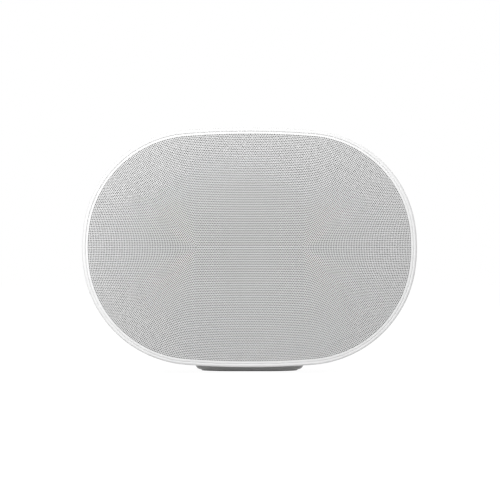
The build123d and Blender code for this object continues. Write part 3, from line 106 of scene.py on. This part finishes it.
# ---- Mesh fineness ----
TINY = 0.001 * MM  # closer than this is the same point
SEAM = 0.01 * MM  # the same, where a band closes
GRILLE_WALL = 1.6 * MM  # depth of the front holes
RING_LAP = 0.02  # of one ring under the next, in rings
INNER_LAP = 0.125  # more for the innermost ring, less for each one outward
LAP_SINK = 0.03 * MM  # of the edge that lies under
GRILLE_SPLITS = (0, 27, 42, 55, RINGS + 1)  # rings at which the sheet's pieces start and end
ARC_STEP = 2.5 * MM
LEAST_STEPS = 4
RIM_LAP = 0.05 * MM  # of the plain border under the pierced sheet
RIM_STEPS = 4

# ---- Side and top grilles ----
SIDE_CORNER = 25.85 * MM
TOP_CORNER = 21.85 * MM
INSERT_WALL = 1.8 * MM  # depth of the inserts' holes and side walls
CELL = 1.6 * MM
ROW = CELL * 0.88  # rows lie closer than the cells in them, because they are staggered
CELL_HOLE_R = 0.52 * MM
PLAIN_BORDER = 2.6 * MM
SHEET_INSET = 0.4 * MM  # of the pierced sheet inside its opening
SHEET_SINK = 0.03 * MM  # of the pierced sheet under its border
EDGE_SOFT = 0.3 * MM
BORDER_TURN = 12  # steps round each corner
BORDER_CUTS = 20  # in each straight edge

# ---- Woofers ----
RING_SECTORS = 6  # pieces that a soft ring is cut into

# ---- Finishes ----
NOISE_LOW, NOISE_HIGH = 0.25, 0.75  # nearly all of the noise lies between these
MOTTLE = 6  # how much finer the roughness changes than the colour
GRAIN_DETAIL = 2.0
WAVE_RATE = 20  # radians of the wave texture in one metre, at scale 1

# ---- Studio ----
WHITE = (1, 1, 1, 1)
CAMERA_RUN = 2.5  # from the camera to the rim
SEEN_WIDTH = 0.388  # at the rim
CAMERA_X = 0.4 * MM
CAMERA_DROP = 1.94 * MM  # below the middle of the front
SENSOR = 36  # width, in millimetres, as the lens is given
SIGHT = 50  # how far the camera sees
FLOOR_REACH = 6.0
FLOOR_WHITE = 0.6
FLOOR_ROUGH = 0.9
FLOOR_SHADE = 0.2  # how much of the shadow shows on the white floor
FLOOR_GLOW = 1.2
AIR_LEVEL = 0.42  # light that the air gives
AIR_SEEN = 1.0  # how bright it looks
# Name, place, width and height, and watts of each soft lamp
LAMPS = [
    ("lamp_left", (-1.1, -1.9, 2.1), (1.6, 1.6), 62),
    ("lamp_back", (0.9, 2.2, 1.5), (1.6, 1.6), 20),
    ("lamp_low", (0, -1.3, 0.05), (1.8, 0.08), 3.4),
]


def outline_arcs(inset):
    """Centre x and z, radius, first angle and turn of each arc, this far inside the outline."""
    end, shoulder, top = END_R - inset, SHOULDER_R - inset, TOP_R - inset
    turn = HIGH - LOW
    return [
        (END_X, 0, end, -LOW, 2 * LOW),
        (SHOULDER_X, SHOULDER_RISE, shoulder, LOW, turn),
        (0, TOP_Z, top, HIGH, math.pi - 2 * HIGH),
        (-SHOULDER_X, SHOULDER_RISE, shoulder, math.pi - HIGH, turn),
        (-END_X, 0, end, math.pi - LOW, 2 * LOW),
        (-SHOULDER_X, -SHOULDER_RISE, shoulder, math.pi + LOW, turn),
        (0, -TOP_Z, top, math.pi + HIGH, math.pi - 2 * HIGH),
        (SHOULDER_X, -SHOULDER_RISE, shoulder, -HIGH, turn),
    ]


def inset_at(x, z):
    """How far a point lies inside the outline; x and z are from its middle."""
    x, z = abs(x), abs(z)
    if x > END_X and math.atan2(z, x - END_X) <= LOW:
        return END_R - math.hypot(x - END_X, z)
    if math.atan2(z - TOP_Z, x) >= HIGH:
        return TOP_R - math.hypot(x, z - TOP_Z)
    return SHOULDER_R - math.hypot(x - SHOULDER_X, z - SHOULDER_RISE)


def dome_y(inset):
    """Depth of the front skin where it lies this far inside the outline."""
    run = CORE - min(max(inset, GRILLE_EDGE), CORE)
    return GRILLE_LOW.y + DOME_SKIN_R - math.sqrt(DOME_SKIN_R**2 - run**2)


def skin_inset(y):
    """How far inside the outline the housing's skin lies at this depth."""
    if y < BULGE_END:
        return FRONT_R - math.sqrt(FRONT_R**2 - (y - RIM_Y) ** 2)
    radius = WAIST_R if y < WAIST_Y else REAR_HOLLOW_R
    return WAIST_DEPTH - radius + math.sqrt(radius**2 - (y - WAIST_Y) ** 2)


def half_width(z, inset):
    """Half the width at this height above the middle, this far inside the outline."""
    z = abs(z)
    if z <= (END_R - inset) * math.sin(LOW):
        return END_X + math.sqrt((END_R - inset) ** 2 - z**2)
    return SHOULDER_X + math.sqrt((SHOULDER_R - inset) ** 2 - (z - SHOULDER_RISE) ** 2)


def half_height(x, inset):
    """Half the height this far to the side of the middle, this far inside the outline."""
    x = abs(x)
    if x <= (TOP_R - inset) * math.cos(HIGH):
        return TOP_Z + math.sqrt((TOP_R - inset) ** 2 - x**2)
    return SHOULDER_RISE + math.sqrt((SHOULDER_R - inset) ** 2 - (x - SHOULDER_X) ** 2)


# ---- Rings of holes: how far round the edge their turns go ----
END_RUN = (END_R - BORDER) * LOW
SHOULDER_RUN = (SHOULDER_R - BORDER) * (HIGH - LOW)
FOCUS_ANGLE = math.acos(FOCUS / (TOP_R - BORDER))
TURN_RUN = END_RUN + SHOULDER_RUN + (TOP_R - BORDER) * (FOCUS_ANGLE - HIGH)


def edge_point(run):
    """The point on the edge of the holes this far round from its right end."""
    if run <= END_RUN:
        angle, radius, cx, cz = run / (END_R - BORDER), END_R - BORDER, END_X, 0
    elif run <= END_RUN + SHOULDER_RUN:
        radius, cx, cz = SHOULDER_R - BORDER, SHOULDER_X, SHOULDER_RISE
        angle = LOW + (run - END_RUN) / radius
    else:
        radius, cx, cz = TOP_R - BORDER, 0, TOP_Z
        angle = HIGH + (run - END_RUN - SHOULDER_RUN) / radius
    return cx + radius * math.cos(angle), cz + radius * math.sin(angle)


def ring_point(ring, share, step):
    """A point of a ring of holes, in x and z from the middle.

    share is 0 on the level line and 1 on the edge; step counts holes from the right.
    """
    turn = TURN_HOLES * ring
    quarter = turn + STRAIGHT / 2
    step %= 4 * quarter
    below = step > 2 * quarter
    step = 4 * quarter - step if below else step
    leftward = step > quarter
    step = 2 * quarter - step if leftward else step
    if step < turn:
        inner = FOCUS
        outer, height = edge_point(TURN_RUN * step / turn)
    else:
        left = 1 - (step - turn) / (STRAIGHT / 2)
        inner = FOCUS * left
        outer = inner
        height = TOP_Z + math.sqrt((TOP_R - BORDER) ** 2 - outer**2)
    x = inner + (outer - inner) * share
    z = height * share
    return (-x if leftward else x), (-z if below else z)


def front_point(ring, share, step):
    """The same point on the front skin."""
    x, z = ring_point(ring, share, step)
    return Vector((x, dome_y(inset_at(x, z)), CENTRE_Z + z))


# ---- Building pieces ----
def mesh_of(name, bm):
    """The shape as a mesh; the bmesh is freed."""
    mesh = bpy.data.meshes.new(name)
    bm.to_mesh(mesh)
    bm.free()
    return mesh


def placed(name, data):
    """A new object with this data, in the scene."""
    obj = bpy.data.objects.new(name, data)
    bpy.context.scene.collection.objects.link(obj)
    return obj


def made(name, bm, material, node, *stands_for, body="housing"):
    """A finished piece with this material, in place of the CAD nodes it stands for, which are hidden; it rides
    with this body, if there is one.
    """
    mesh = mesh_of(name, bm)
    mesh.materials.append(material)
    piece = placed(name, mesh)
    if body:
        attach(piece, body)
    if stands_for:
        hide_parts(*stands_for)
    return piece


def perforated_strip(cells, corner, hole_r, depth, pierced=None):
    """A strip of cells, each with an eight-sided hole that goes this deep into the sheet.

    corner gives the place after this many cells along the strip's near or far side.
    pierced says which cells have a hole; without it they all do.
    """
    bm = bmesh.new()
    bmesh.ops.create_grid(bm, x_segments=cells, y_segments=1, size=1)
    column_of = bm.faces.layers.int.new("column")
    for face in bm.faces:
        face[column_of] = math.floor((face.calc_center_median().x + 1) / 2 * cells)
    for vert in bm.verts:
        column = round((vert.co.x + 1) / 2 * cells)
        vert.co = corner(column, vert.co.y > 0)
    bmesh.ops.dissolve_degenerate(bm, edges=bm.edges, dist=TINY)
    faces = [face for face in bm.faces if pierced is None or pierced(face[column_of])]
    for face in faces:
        face.normal_update()
    bmesh.ops.inset_individual(bm, faces=faces, thickness=hole_r / 2, use_even_offset=True)
    rims = [(face, face.calc_center_median(), face.normal.copy()) for face in faces]
    for face in faces:
        bmesh.ops.bisect_edges(bm, edges=list(face.edges), cuts=1)
    edges = []
    inward = {}
    for face, centre, normal in rims:
        for vert in face.verts:
            way = vert.co - centre
            way -= way.dot(normal) * normal
            vert.co = centre + way.normalized() * hole_r
            inward[vert] = -normal * depth
        edges += list(face.edges)
    bmesh.ops.delete(bm, geom=faces, context="FACES_ONLY")
    walls = bmesh.ops.extrude_edge_only(bm, edges=edges)
    for vert in walls["geom"]:
        if isinstance(vert, bmesh.types.BMVert):
            others = [edge.other_vert(vert) for edge in vert.link_edges]
            vert.co += inward[next(other for other in others if other in inward)]
    bmesh.ops.remove_doubles(bm, verts=list(bm.verts), dist=TINY)
    return bm


def gathered(strips):
    """The strips as one mesh."""
    whole = bmesh.new()
    for strip in strips:
        mesh = mesh_of("strip", strip)
        whole.from_mesh(mesh)
        bpy.data.meshes.remove(mesh)
    return whole


def ring_strip(ring):
    """One ring of holes in the front sheet; ring 0 is the level row that the others go round."""
    cells = STRAIGHT + 1 if ring == 0 else 2 * STRAIGHT + int(4 * TURN_HOLES * ring)
    lap = 0.5 + RING_LAP + INNER_LAP / max(ring, 1)

    def corner(column, inward):
        if ring == 0:
            x = FOCUS * (1 - (2 * column - 1) / STRAIGHT)
            z = (-lap if inward else lap) * (HALF_HEIGHT - BORDER) / RING_SPAN
            return Vector((x, GRILLE_LOW.y + LAP_SINK, CENTRE_Z + z))
        reach = -0.5 if inward else lap
        place = front_point(ring, (ring + reach) / RING_SPAN, column - 0.5)
        place.y += 0 if inward else LAP_SINK
        return place

    return perforated_strip(cells, corner, HOLE_R, GRILLE_WALL)


def swept(profile):
    """A band that follows the outline; its profile is a row of (inset, depth) points."""
    bm = bmesh.new()
    arcs = outline_arcs(0)
    cx, cz, radius, start, _ = arcs[0]
    verts = []
    for inset, y in profile:
        x = cx + (radius - inset) * math.cos(start)
        z = CENTRE_Z + cz + (radius - inset) * math.sin(start)
        verts.append(bm.verts.new((x, y, z)))
    last = verts + [bm.edges.new(pair) for pair in zip(verts, verts[1:])]
    for cx, cz, radius, start, turn in arcs:
        steps = max(LEAST_STEPS, math.ceil(radius * turn / ARC_STEP))
        centre = (cx, 0, CENTRE_Z + cz)
        spun = bmesh.ops.spin(bm, geom=last, cent=centre, axis=(0, -1, 0), angle=turn, steps=steps)
        last = spun["geom_last"]
    bmesh.ops.remove_doubles(bm, verts=list(bm.verts), dist=SEAM)
    bmesh.ops.recalc_face_normals(bm, faces=list(bm.faces))
    return bm


# ---- Small grilles in the sides and the top ----
class Window:
    """A rounded opening in the housing's skin, filled by a pierced insert.

    look points straight in, and across to the right of who looks that way.
    """

    def __init__(self, node, look, across, radius):
        self.node, self.look, self.across, self.radius = node, look, across, radius
        low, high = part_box(node)
        self.middle = (low + high) / 2
        self.up = across.cross(look)
        self.width = abs((high - low).dot(across))
        self.height = abs((high - low).dot(self.up))

    def place(self, a, b, lift=0.0):
        """The skin's point this far across and up from the middle, lifted straight outward."""
        at = self.middle + self.across * a + self.up * b
        inset = skin_inset(at.y)
        if self.look.z:
            at.z = CENTRE_Z + half_height(at.x, inset)
        else:
            at.x = -self.look.x * half_width(at.z - CENTRE_Z, inset)
        return at - self.look * lift

    def reach(self, b, inset):
        """Half width at this height, this far inside the outline."""
        rise = abs(b) - (self.height / 2 - self.radius)
        radius = self.radius - inset
        return self.width / 2 - self.radius + math.sqrt(radius**2 - min(max(rise, 0), radius) ** 2)

    def inside(self, a, b):
        """How far a point lies inside the opening's outline."""
        dx = abs(a) - (self.width / 2 - self.radius)
        dy = abs(b) - (self.height / 2 - self.radius)
        if dx > 0 and dy > 0:
            return self.radius - math.hypot(dx, dy)
        return self.radius - max(dx, dy)


def pierced_insert(window):
    """Even staggered rows of holes on the window's insert, up to its plain border."""
    rows = math.ceil(window.height / ROW)
    cells = math.ceil(window.width / CELL) + 1
    strips = []
    for row in range(rows):
        low = (row - rows / 2) * ROW
        shift = (row % 2) / 2 - cells / 2

        def corner(column, far):
            top = window.height / 2 - SHEET_INSET
            b = min(max(low + (ROW if far else 0), -top), top)
            limit = window.reach(b, SHEET_INSET)
            a = min(max((column + shift) * CELL, -limit), limit)
            return window.place(a, b, -SHEET_SINK)

        def pierced(column):
            a, b = (column + 0.5 + shift) * CELL, low + ROW / 2
            return window.inside(a, b) > PLAIN_BORDER + CELL_HOLE_R

        strips.append(perforated_strip(cells, corner, CELL_HOLE_R, INSERT_WALL, pierced))
    return gathered(strips)


def window_border(window):
    """The insert's plain border, with a softened edge and the wall that fills the opening."""
    bm = bmesh.new()
    bmesh.ops.create_grid(bm, x_segments=1, y_segments=1, size=0.5)
    bmesh.ops.scale(bm, vec=(window.width, window.height, 1), verts=bm.verts)
    bmesh.ops.bevel(
        bm, geom=list(bm.verts), offset=window.radius, segments=BORDER_TURN, profile=0.5,
        affect="VERTICES", material=-1
    )
    bmesh.ops.delete(bm, geom=list(bm.faces), context="FACES_ONLY")
    straight = sorted(bm.edges, key=lambda edge: edge.calc_length())[-4:]  # the four sides
    bmesh.ops.subdivide_edges(bm, edges=straight, cuts=BORDER_CUTS)
    face = bmesh.ops.edgeloop_fill(bm, edges=list(bm.edges))["faces"][0]
    if face.normal.z < 0:
        bmesh.ops.reverse_faces(bm, faces=[face])
    for width in (EDGE_SOFT, PLAIN_BORDER - EDGE_SOFT):
        bmesh.ops.inset_region(
            bm, faces=[face], thickness=width, use_boundary=True, use_even_offset=True
        )
    rim = [edge for edge in bm.edges if edge.is_boundary]
    bmesh.ops.delete(bm, geom=[face], context="FACES_ONLY")
    for vert in {vert for edge in rim for vert in edge.verts}:
        vert.co.z = -EDGE_SOFT
    skirt = bmesh.ops.extrude_edge_only(bm, edges=rim)["geom"]
    for vert in skirt:
        if isinstance(vert, bmesh.types.BMVert):
            vert.co.z = -INSERT_WALL
    for vert in bm.verts:
        vert.co = window.place(vert.co.x, vert.co.y, vert.co.z)
    return bm


def small_grilles():
    """The pierced sheet and the plain border of each insert."""
    windows = [
        Window("side_grille_right", Vector((-1, 0, 0)), Vector((0, 1, 0)), SIDE_CORNER),
        Window("side_grille_left", Vector((1, 0, 0)), Vector((0, -1, 0)), SIDE_CORNER),
        Window("top_grille", Vector((0, 0, -1)), Vector((1, 0, 0)), TOP_CORNER),
    ]
    for window in windows:
        name = window.node
        made(f"{name}_holes", pierced_insert(window), PIERCED_SHADED, name, name)
        made(f"{name}_border", window_border(window), FINISHES["grille_plastic"], name, name)


# ---- Soft rings of the woofers ----
def soft_ring(node, axis):
    """A copy of the ring, whose pieces ride with no body.

    It is cut in sectors, because a piece bends along one line only.
    """
    source = frame["nodes"][node]
    whole = bmesh.new()
    whole.from_mesh(source.data)
    bmesh.ops.transform(whole, matrix=source.matrix_world, verts=list(whole.verts))
    bmesh.ops.remove_doubles(whole, verts=list(whole.verts), dist=TINY)
    for face in whole.faces:
        face.smooth = True
    middle = sum((vert.co for vert in whole.verts), Vector()) / len(whole.verts)
    half = math.pi / RING_SECTORS
    up = Vector((0, 0, 1))
    for number in range(RING_SECTORS):
        sector = whole.copy()
        for side in (-1, 1):
            edge = Quaternion(axis, (2 * number + side) * half) @ up
            outward = side * axis.cross(edge)
            geom = [*sector.verts, *sector.edges, *sector.faces]
            bmesh.ops.bisect_plane(
                sector, geom=geom, plane_co=middle, plane_no=outward, clear_outer=True
            )
        piece = made(f"{node}_{number}", sector, FINISHES[SLOTS[node]], node, node, body=None)
        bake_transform(piece)
    whole.free()


def soft_rings():
    """Both soft rings of each woofer, cut in sectors."""
    for joint in frame["joints"]:
        cone = joint["child"]
        if cone.startswith("woofer_cone"):
            for ring in ("surround", "spider"):
                soft_ring(cone.replace("cone", ring), Vector(joint["axis"]).normalized())


# ---- Finishes ----
def tree_of(name):
    """A new material and its nodes."""
    material = bpy.data.materials.new(name)
    material.use_nodes = True
    return material, material.node_tree


def noise(tree, place, size, detail=3.0):
    """Value noise whose features are about this size, in metres."""
    node = tree.nodes.new("ShaderNodeTexNoise")
    node.inputs["Scale"].default_value = 1 / size
    node.inputs["Detail"].default_value = detail
    tree.links.new(place, node.inputs["Vector"])
    return node.outputs["Fac"]


def ranged(tree, value, low, high):
    """Noise spread over this range."""
    node = tree.nodes.new("ShaderNodeMapRange")
    node.inputs["From Min"].default_value = NOISE_LOW
    node.inputs["From Max"].default_value = NOISE_HIGH
    node.inputs["To Min"].default_value = low
    node.inputs["To Max"].default_value = high
    tree.links.new(value, node.inputs["Value"])
    return node.outputs["Result"]


def summed(tree, values, clamp=False):
    """The sum of these values, held to 0 to 1 where clamp is set."""
    total = values[0]
    for value in values[1:]:
        add = tree.nodes.new("ShaderNodeMath")
        add.operation = "ADD"
        add.use_clamp = clamp
        tree.links.new(total, add.inputs[0])
        tree.links.new(value, add.inputs[1])
        total = add.outputs["Value"]
    return total


def finish(name, colour, vary=0.02, patch=30 * MM, rough=0.5, rough_vary=0.08,
           grain=0.25 * MM, relief=0.01 * MM, metallic=0.0, sheen=0.0, weave=0.0, brushed=None):
    """A finish at true scale: slow colour change, changing roughness, and a fine grain or weave."""
    material, tree = tree_of(name)
    shader = tree.nodes["Principled BSDF"]
    place = tree.nodes.new("ShaderNodeTexCoord").outputs["Object"]
    if brushed:
        mapping = tree.nodes.new("ShaderNodeMapping")
        mapping.inputs["Scale"].default_value = brushed
        tree.links.new(place, mapping.inputs["Vector"])
        place = mapping.outputs["Vector"]
    tint = tree.nodes.new("ShaderNodeMix")
    tint.data_type = "RGBA"
    tint.inputs["A"].default_value = (*[share * (1 - vary) for share in colour], 1)
    tint.inputs["B"].default_value = (*[min(share * (1 + vary), 1) for share in colour], 1)
    tree.links.new(noise(tree, place, patch), tint.inputs["Factor"])
    tree.links.new(tint.outputs["Result"], shader.inputs["Base Color"])
    mottle = noise(tree, place, patch / MOTTLE)
    roughness = ranged(tree, mottle, rough - rough_vary, rough + rough_vary)
    tree.links.new(roughness, shader.inputs["Roughness"])
    if weave:
        height = woven(tree, place, weave)
    else:
        height = noise(tree, place, grain, GRAIN_DETAIL)
    bump = tree.nodes.new("ShaderNodeBump")
    bump.inputs["Distance"].default_value = relief
    tree.links.new(height, bump.inputs["Height"])
    tree.links.new(bump.outputs["Normal"], shader.inputs["Normal"])
    shader.inputs["Metallic"].default_value = metallic
    shader.inputs["Sheen Weight"].default_value = sheen
    return material


def woven(tree, place, pitch):
    """Height of a plain weave with this thread pitch."""
    threads = []
    for way in ("X", "Y", "Z"):
        wave = tree.nodes.new("ShaderNodeTexWave")
        wave.bands_direction = way
        wave.inputs["Scale"].default_value = 2 * math.pi / (WAVE_RATE * pitch)
        tree.links.new(place, wave.inputs["Vector"])
        threads.append(wave.outputs["Fac"])
    return summed(tree, threads)


def grey(value):
    """A colour without hue."""
    return (value, value, value)


def shaded_sheet_finish():
    """The pierced sheets' finish: the same white plastic as the plain borders round them, painted a little greyer
    as painted shade.
    """
    return finish("pierced_white_painted_shade", grey(0.76), vary=0.01, rough=0.55, relief=0.004 * MM)


def finishes():
    """One finish for each material slot of the record."""
    return {
        "grille_plastic": finish(
            "grille_white", grey(0.86), vary=0.01, rough=0.5, relief=0.004 * MM
        ),
        "shell_plastic": finish("shell_white", grey(0.84), vary=0.01, rough=0.5, relief=0.006 * MM),
        "button_plastic": finish(
            "button_white", grey(0.78), vary=0.01, rough=0.42, relief=0.004 * MM
        ),
        "scrim_fabric": finish(
            "scrim_cloth", grey(0.10), rough=0.95, relief=0.1 * MM, sheen=0.3, weave=0.35 * MM
        ),
        "foot_plastic": finish("foot_grey", grey(0.54), rough=0.55, relief=0.012 * MM),
        "foot_rubber": finish(
            "foot_rubber", grey(0.16), rough=0.8, relief=0.02 * MM, grain=0.5 * MM
        ),
        "brass": finish("insert_brass", (0.72, 0.52, 0.22), rough=0.28, metallic=1.0, patch=6 * MM),
        "box_plastic": finish(
            "box_black", grey(0.035), rough=0.6, relief=0.02 * MM, grain=0.5 * MM
        ),
        "seal_rubber": finish("seal_foam", grey(0.03), rough=0.9, relief=0.05 * MM, grain=0.4 * MM),
        "board_laminate": finish(
            "board_green", (0.02, 0.12, 0.06), vary=0.15, rough=0.32, patch=8 * MM
        ),
        "aluminium": finish(
            "sink_aluminium", (0.6, 0.61, 0.63), rough=0.38, metallic=1.0, brushed=(1, 1, 0.05)
        ),
        "steel": finish("plated_steel", (0.56, 0.56, 0.58), rough=0.3, metallic=1.0, patch=8 * MM),
        "black_plastic": finish("horn_black", grey(0.03), rough=0.5, relief=0.01 * MM),
        "light_pipe": finish("light_pipe", grey(0.85), rough=0.35, relief=0.002 * MM),
        "ribbon_film": finish(
            "ribbon_amber", (0.55, 0.27, 0.05), vary=0.1, rough=0.3, patch=5 * MM
        ),
        "lead_jacket": finish("lead_black", grey(0.03), rough=0.6, patch=6 * MM),
        "copper_foil": finish(
            "foil_copper", (0.72, 0.38, 0.2), rough=0.3, metallic=1.0, patch=6 * MM
        ),
        "basket_metal": finish(
            "basket_black", grey(0.04), rough=0.45, relief=0.02 * MM, metallic=0.2
        ),
        "magnet_metal": finish(
            "magnet_grey", grey(0.14), rough=0.5, relief=0.02 * MM, metallic=0.6
        ),
        "copper": finish(
            "coil_copper", (0.7, 0.34, 0.16), rough=0.3, metallic=1.0, brushed=(1, 1, 30)
        ),
        "spider_fabric": finish(
            "spider_cloth", (0.5, 0.33, 0.13), rough=0.85, relief=0.1 * MM, weave=0.5 * MM
        ),
        "cone_paper": finish(
            "cone_paper", grey(0.05), rough=0.75, relief=0.03 * MM, grain=1.2 * MM
        ),
        "surround_rubber": finish("surround_rubber", grey(0.025), rough=0.6, relief=0.01 * MM),
        "dome_silk": finish(
            "dome_silk", grey(0.07), rough=0.5, relief=0.04 * MM, sheen=0.4, weave=0.3 * MM
        ),
    }


def dress_nodes():
    """Gives every CAD node its finish, in place of the flat colour that it comes with."""
    for node, slot in SLOTS.items():
        obj = frame["nodes"][node]
        obj.data.materials.clear()
        obj.data.materials.append(FINISHES[slot])


def front_grille():
    """The pierced sheet in four pieces, and the plain border that holds it."""
    spans = zip(GRILLE_SPLITS, GRILLE_SPLITS[1:])
    for number, (first, end) in enumerate(spans):
        sheet = gathered([ring_strip(ring) for ring in range(first, end)])
        made(f"front_holes_{number}", sheet, PIERCED_SHADED, "front_grille", "front_grille")
    profile = [
        (BORDER + RIM_LAP, dome_y(BORDER + RIM_LAP) + RIM_LAP),
        (BORDER, dome_y(BORDER)),
    ]
    soft_y = dome_y(GRILLE_EDGE + RIM_SOFT)
    for step in range(RIM_STEPS + 1):
        angle = math.pi / 2 * step / RIM_STEPS
        inset = GRILLE_EDGE + RIM_SOFT * (1 - math.sin(angle))
        profile.append((inset, soft_y + RIM_SOFT * (1 - math.cos(angle))))
    edge_y = dome_y(GRILLE_EDGE)
    profile += [
        (GRILLE_EDGE, edge_y + LEDGE_DEPTH),
        (LEDGE_EDGE, edge_y + LEDGE_DEPTH + RIM_LAP),
        (LEDGE_EDGE, edge_y + 2 * LEDGE_DEPTH),
        (GRILLE_EDGE, edge_y + GRILLE_SKIRT),
    ]
    made("front_border", swept(profile), FINISHES["grille_plastic"], "front_grille", "front_grille")


# ---- Floor, lamps and camera ----
def seen_directly(tree):
    """1 for what is seen straight, in a reflection or through a clear piece, 0 for plain light."""
    ray = tree.nodes.new("ShaderNodeLightPath")
    kinds = ("Is Camera Ray", "Is Glossy Ray", "Is Transmission Ray")
    return summed(tree, [ray.outputs[kind] for kind in kinds], clamp=True)


def floor_finish():
    """A matt floor that lights like any other and is seen as white, with a faint shadow."""
    material, tree = tree_of("floor_white")
    matt = tree.nodes["Principled BSDF"]
    matt.inputs["Base Color"].default_value = (*grey(FLOOR_WHITE), 1)
    matt.inputs["Roughness"].default_value = FLOOR_ROUGH
    matt.inputs["Specular IOR Level"].default_value = 0.0
    glow = tree.nodes.new("ShaderNodeEmission")
    glow.inputs["Color"].default_value = WHITE
    glow.inputs["Strength"].default_value = FLOOR_GLOW
    share = tree.nodes.new("ShaderNodeMath")
    share.operation = "MULTIPLY"
    share.use_clamp = True
    share.inputs[1].default_value = 1 - FLOOR_SHADE
    tree.links.new(seen_directly(tree), share.inputs[0])
    mixed = tree.nodes.new("ShaderNodeMixShader")
    tree.links.new(share.outputs["Value"], mixed.inputs["Fac"])
    tree.links.new(matt.outputs["BSDF"], mixed.inputs[1])
    tree.links.new(glow.outputs["Emission"], mixed.inputs[2])
    tree.links.new(mixed.outputs["Shader"], tree.nodes["Material Output"].inputs["Surface"])
    return material


def white_floor():
    """The plain floor that the speaker stands on."""
    bm = bmesh.new()
    bmesh.ops.create_grid(bm, x_segments=1, y_segments=1, size=FLOOR_REACH)
    floor = placed("floor", mesh_of("floor", bm))
    floor.data.materials.append(floor_finish())


def white_air():
    """Even light from all round, seen as white."""
    world = bpy.data.worlds.new("studio_air")
    bpy.context.scene.world = world
    world.use_nodes = True
    tree = world.node_tree
    background = tree.nodes["Background"]
    background.inputs["Color"].default_value = WHITE
    level = tree.nodes.new("ShaderNodeMapRange")
    level.inputs["To Min"].default_value = AIR_LEVEL
    level.inputs["To Max"].default_value = AIR_SEEN
    tree.links.new(seen_directly(tree), level.inputs["Value"])
    tree.links.new(level.outputs["Result"], background.inputs["Strength"])


def soft_lamps():
    """A large lamp at the upper left, a weaker one behind, and a low strip that lights the foot."""
    for name, place, size, power in LAMPS:
        data = bpy.data.lights.new(name, "AREA")
        data.shape = "RECTANGLE"
        data.size, data.size_y = size
        data.energy = power
        aim = Vector((0, 0, CENTRE_Z)) - Vector(place)
        lamp = placed(name, data)
        lamp.location = place
        lamp.rotation_euler = aim.to_track_quat("-Z", "Y").to_euler()


def level_camera():
    """The camera, straight in front and level, a little below the middle of the front."""
    data = bpy.data.cameras.new("camera")
    data.sensor_width = SENSOR
    data.lens = SENSOR * CAMERA_RUN / SEEN_WIDTH
    data.clip_end = SIGHT
    camera = placed("camera", data)
    camera.location = (CAMERA_X, RIM_Y - CAMERA_RUN, CENTRE_Z - CAMERA_DROP)
    camera.rotation_euler = (math.pi / 2, 0, 0)
    bpy.context.scene.camera = camera
    bpy.context.scene.view_settings.view_transform = "Standard"


SLOTS = {part["node"]: part["material_slot"] for part in frame["record"]["subparts"]}
FINISHES = finishes()
# the pierced sheets' white, painted greyer than their borders as painted shade
PIERCED_SHADED = shaded_sheet_finish()
dress_nodes()
front_grille()
small_grilles()
soft_rings()
white_floor()
white_air()
soft_lamps()
level_camera()
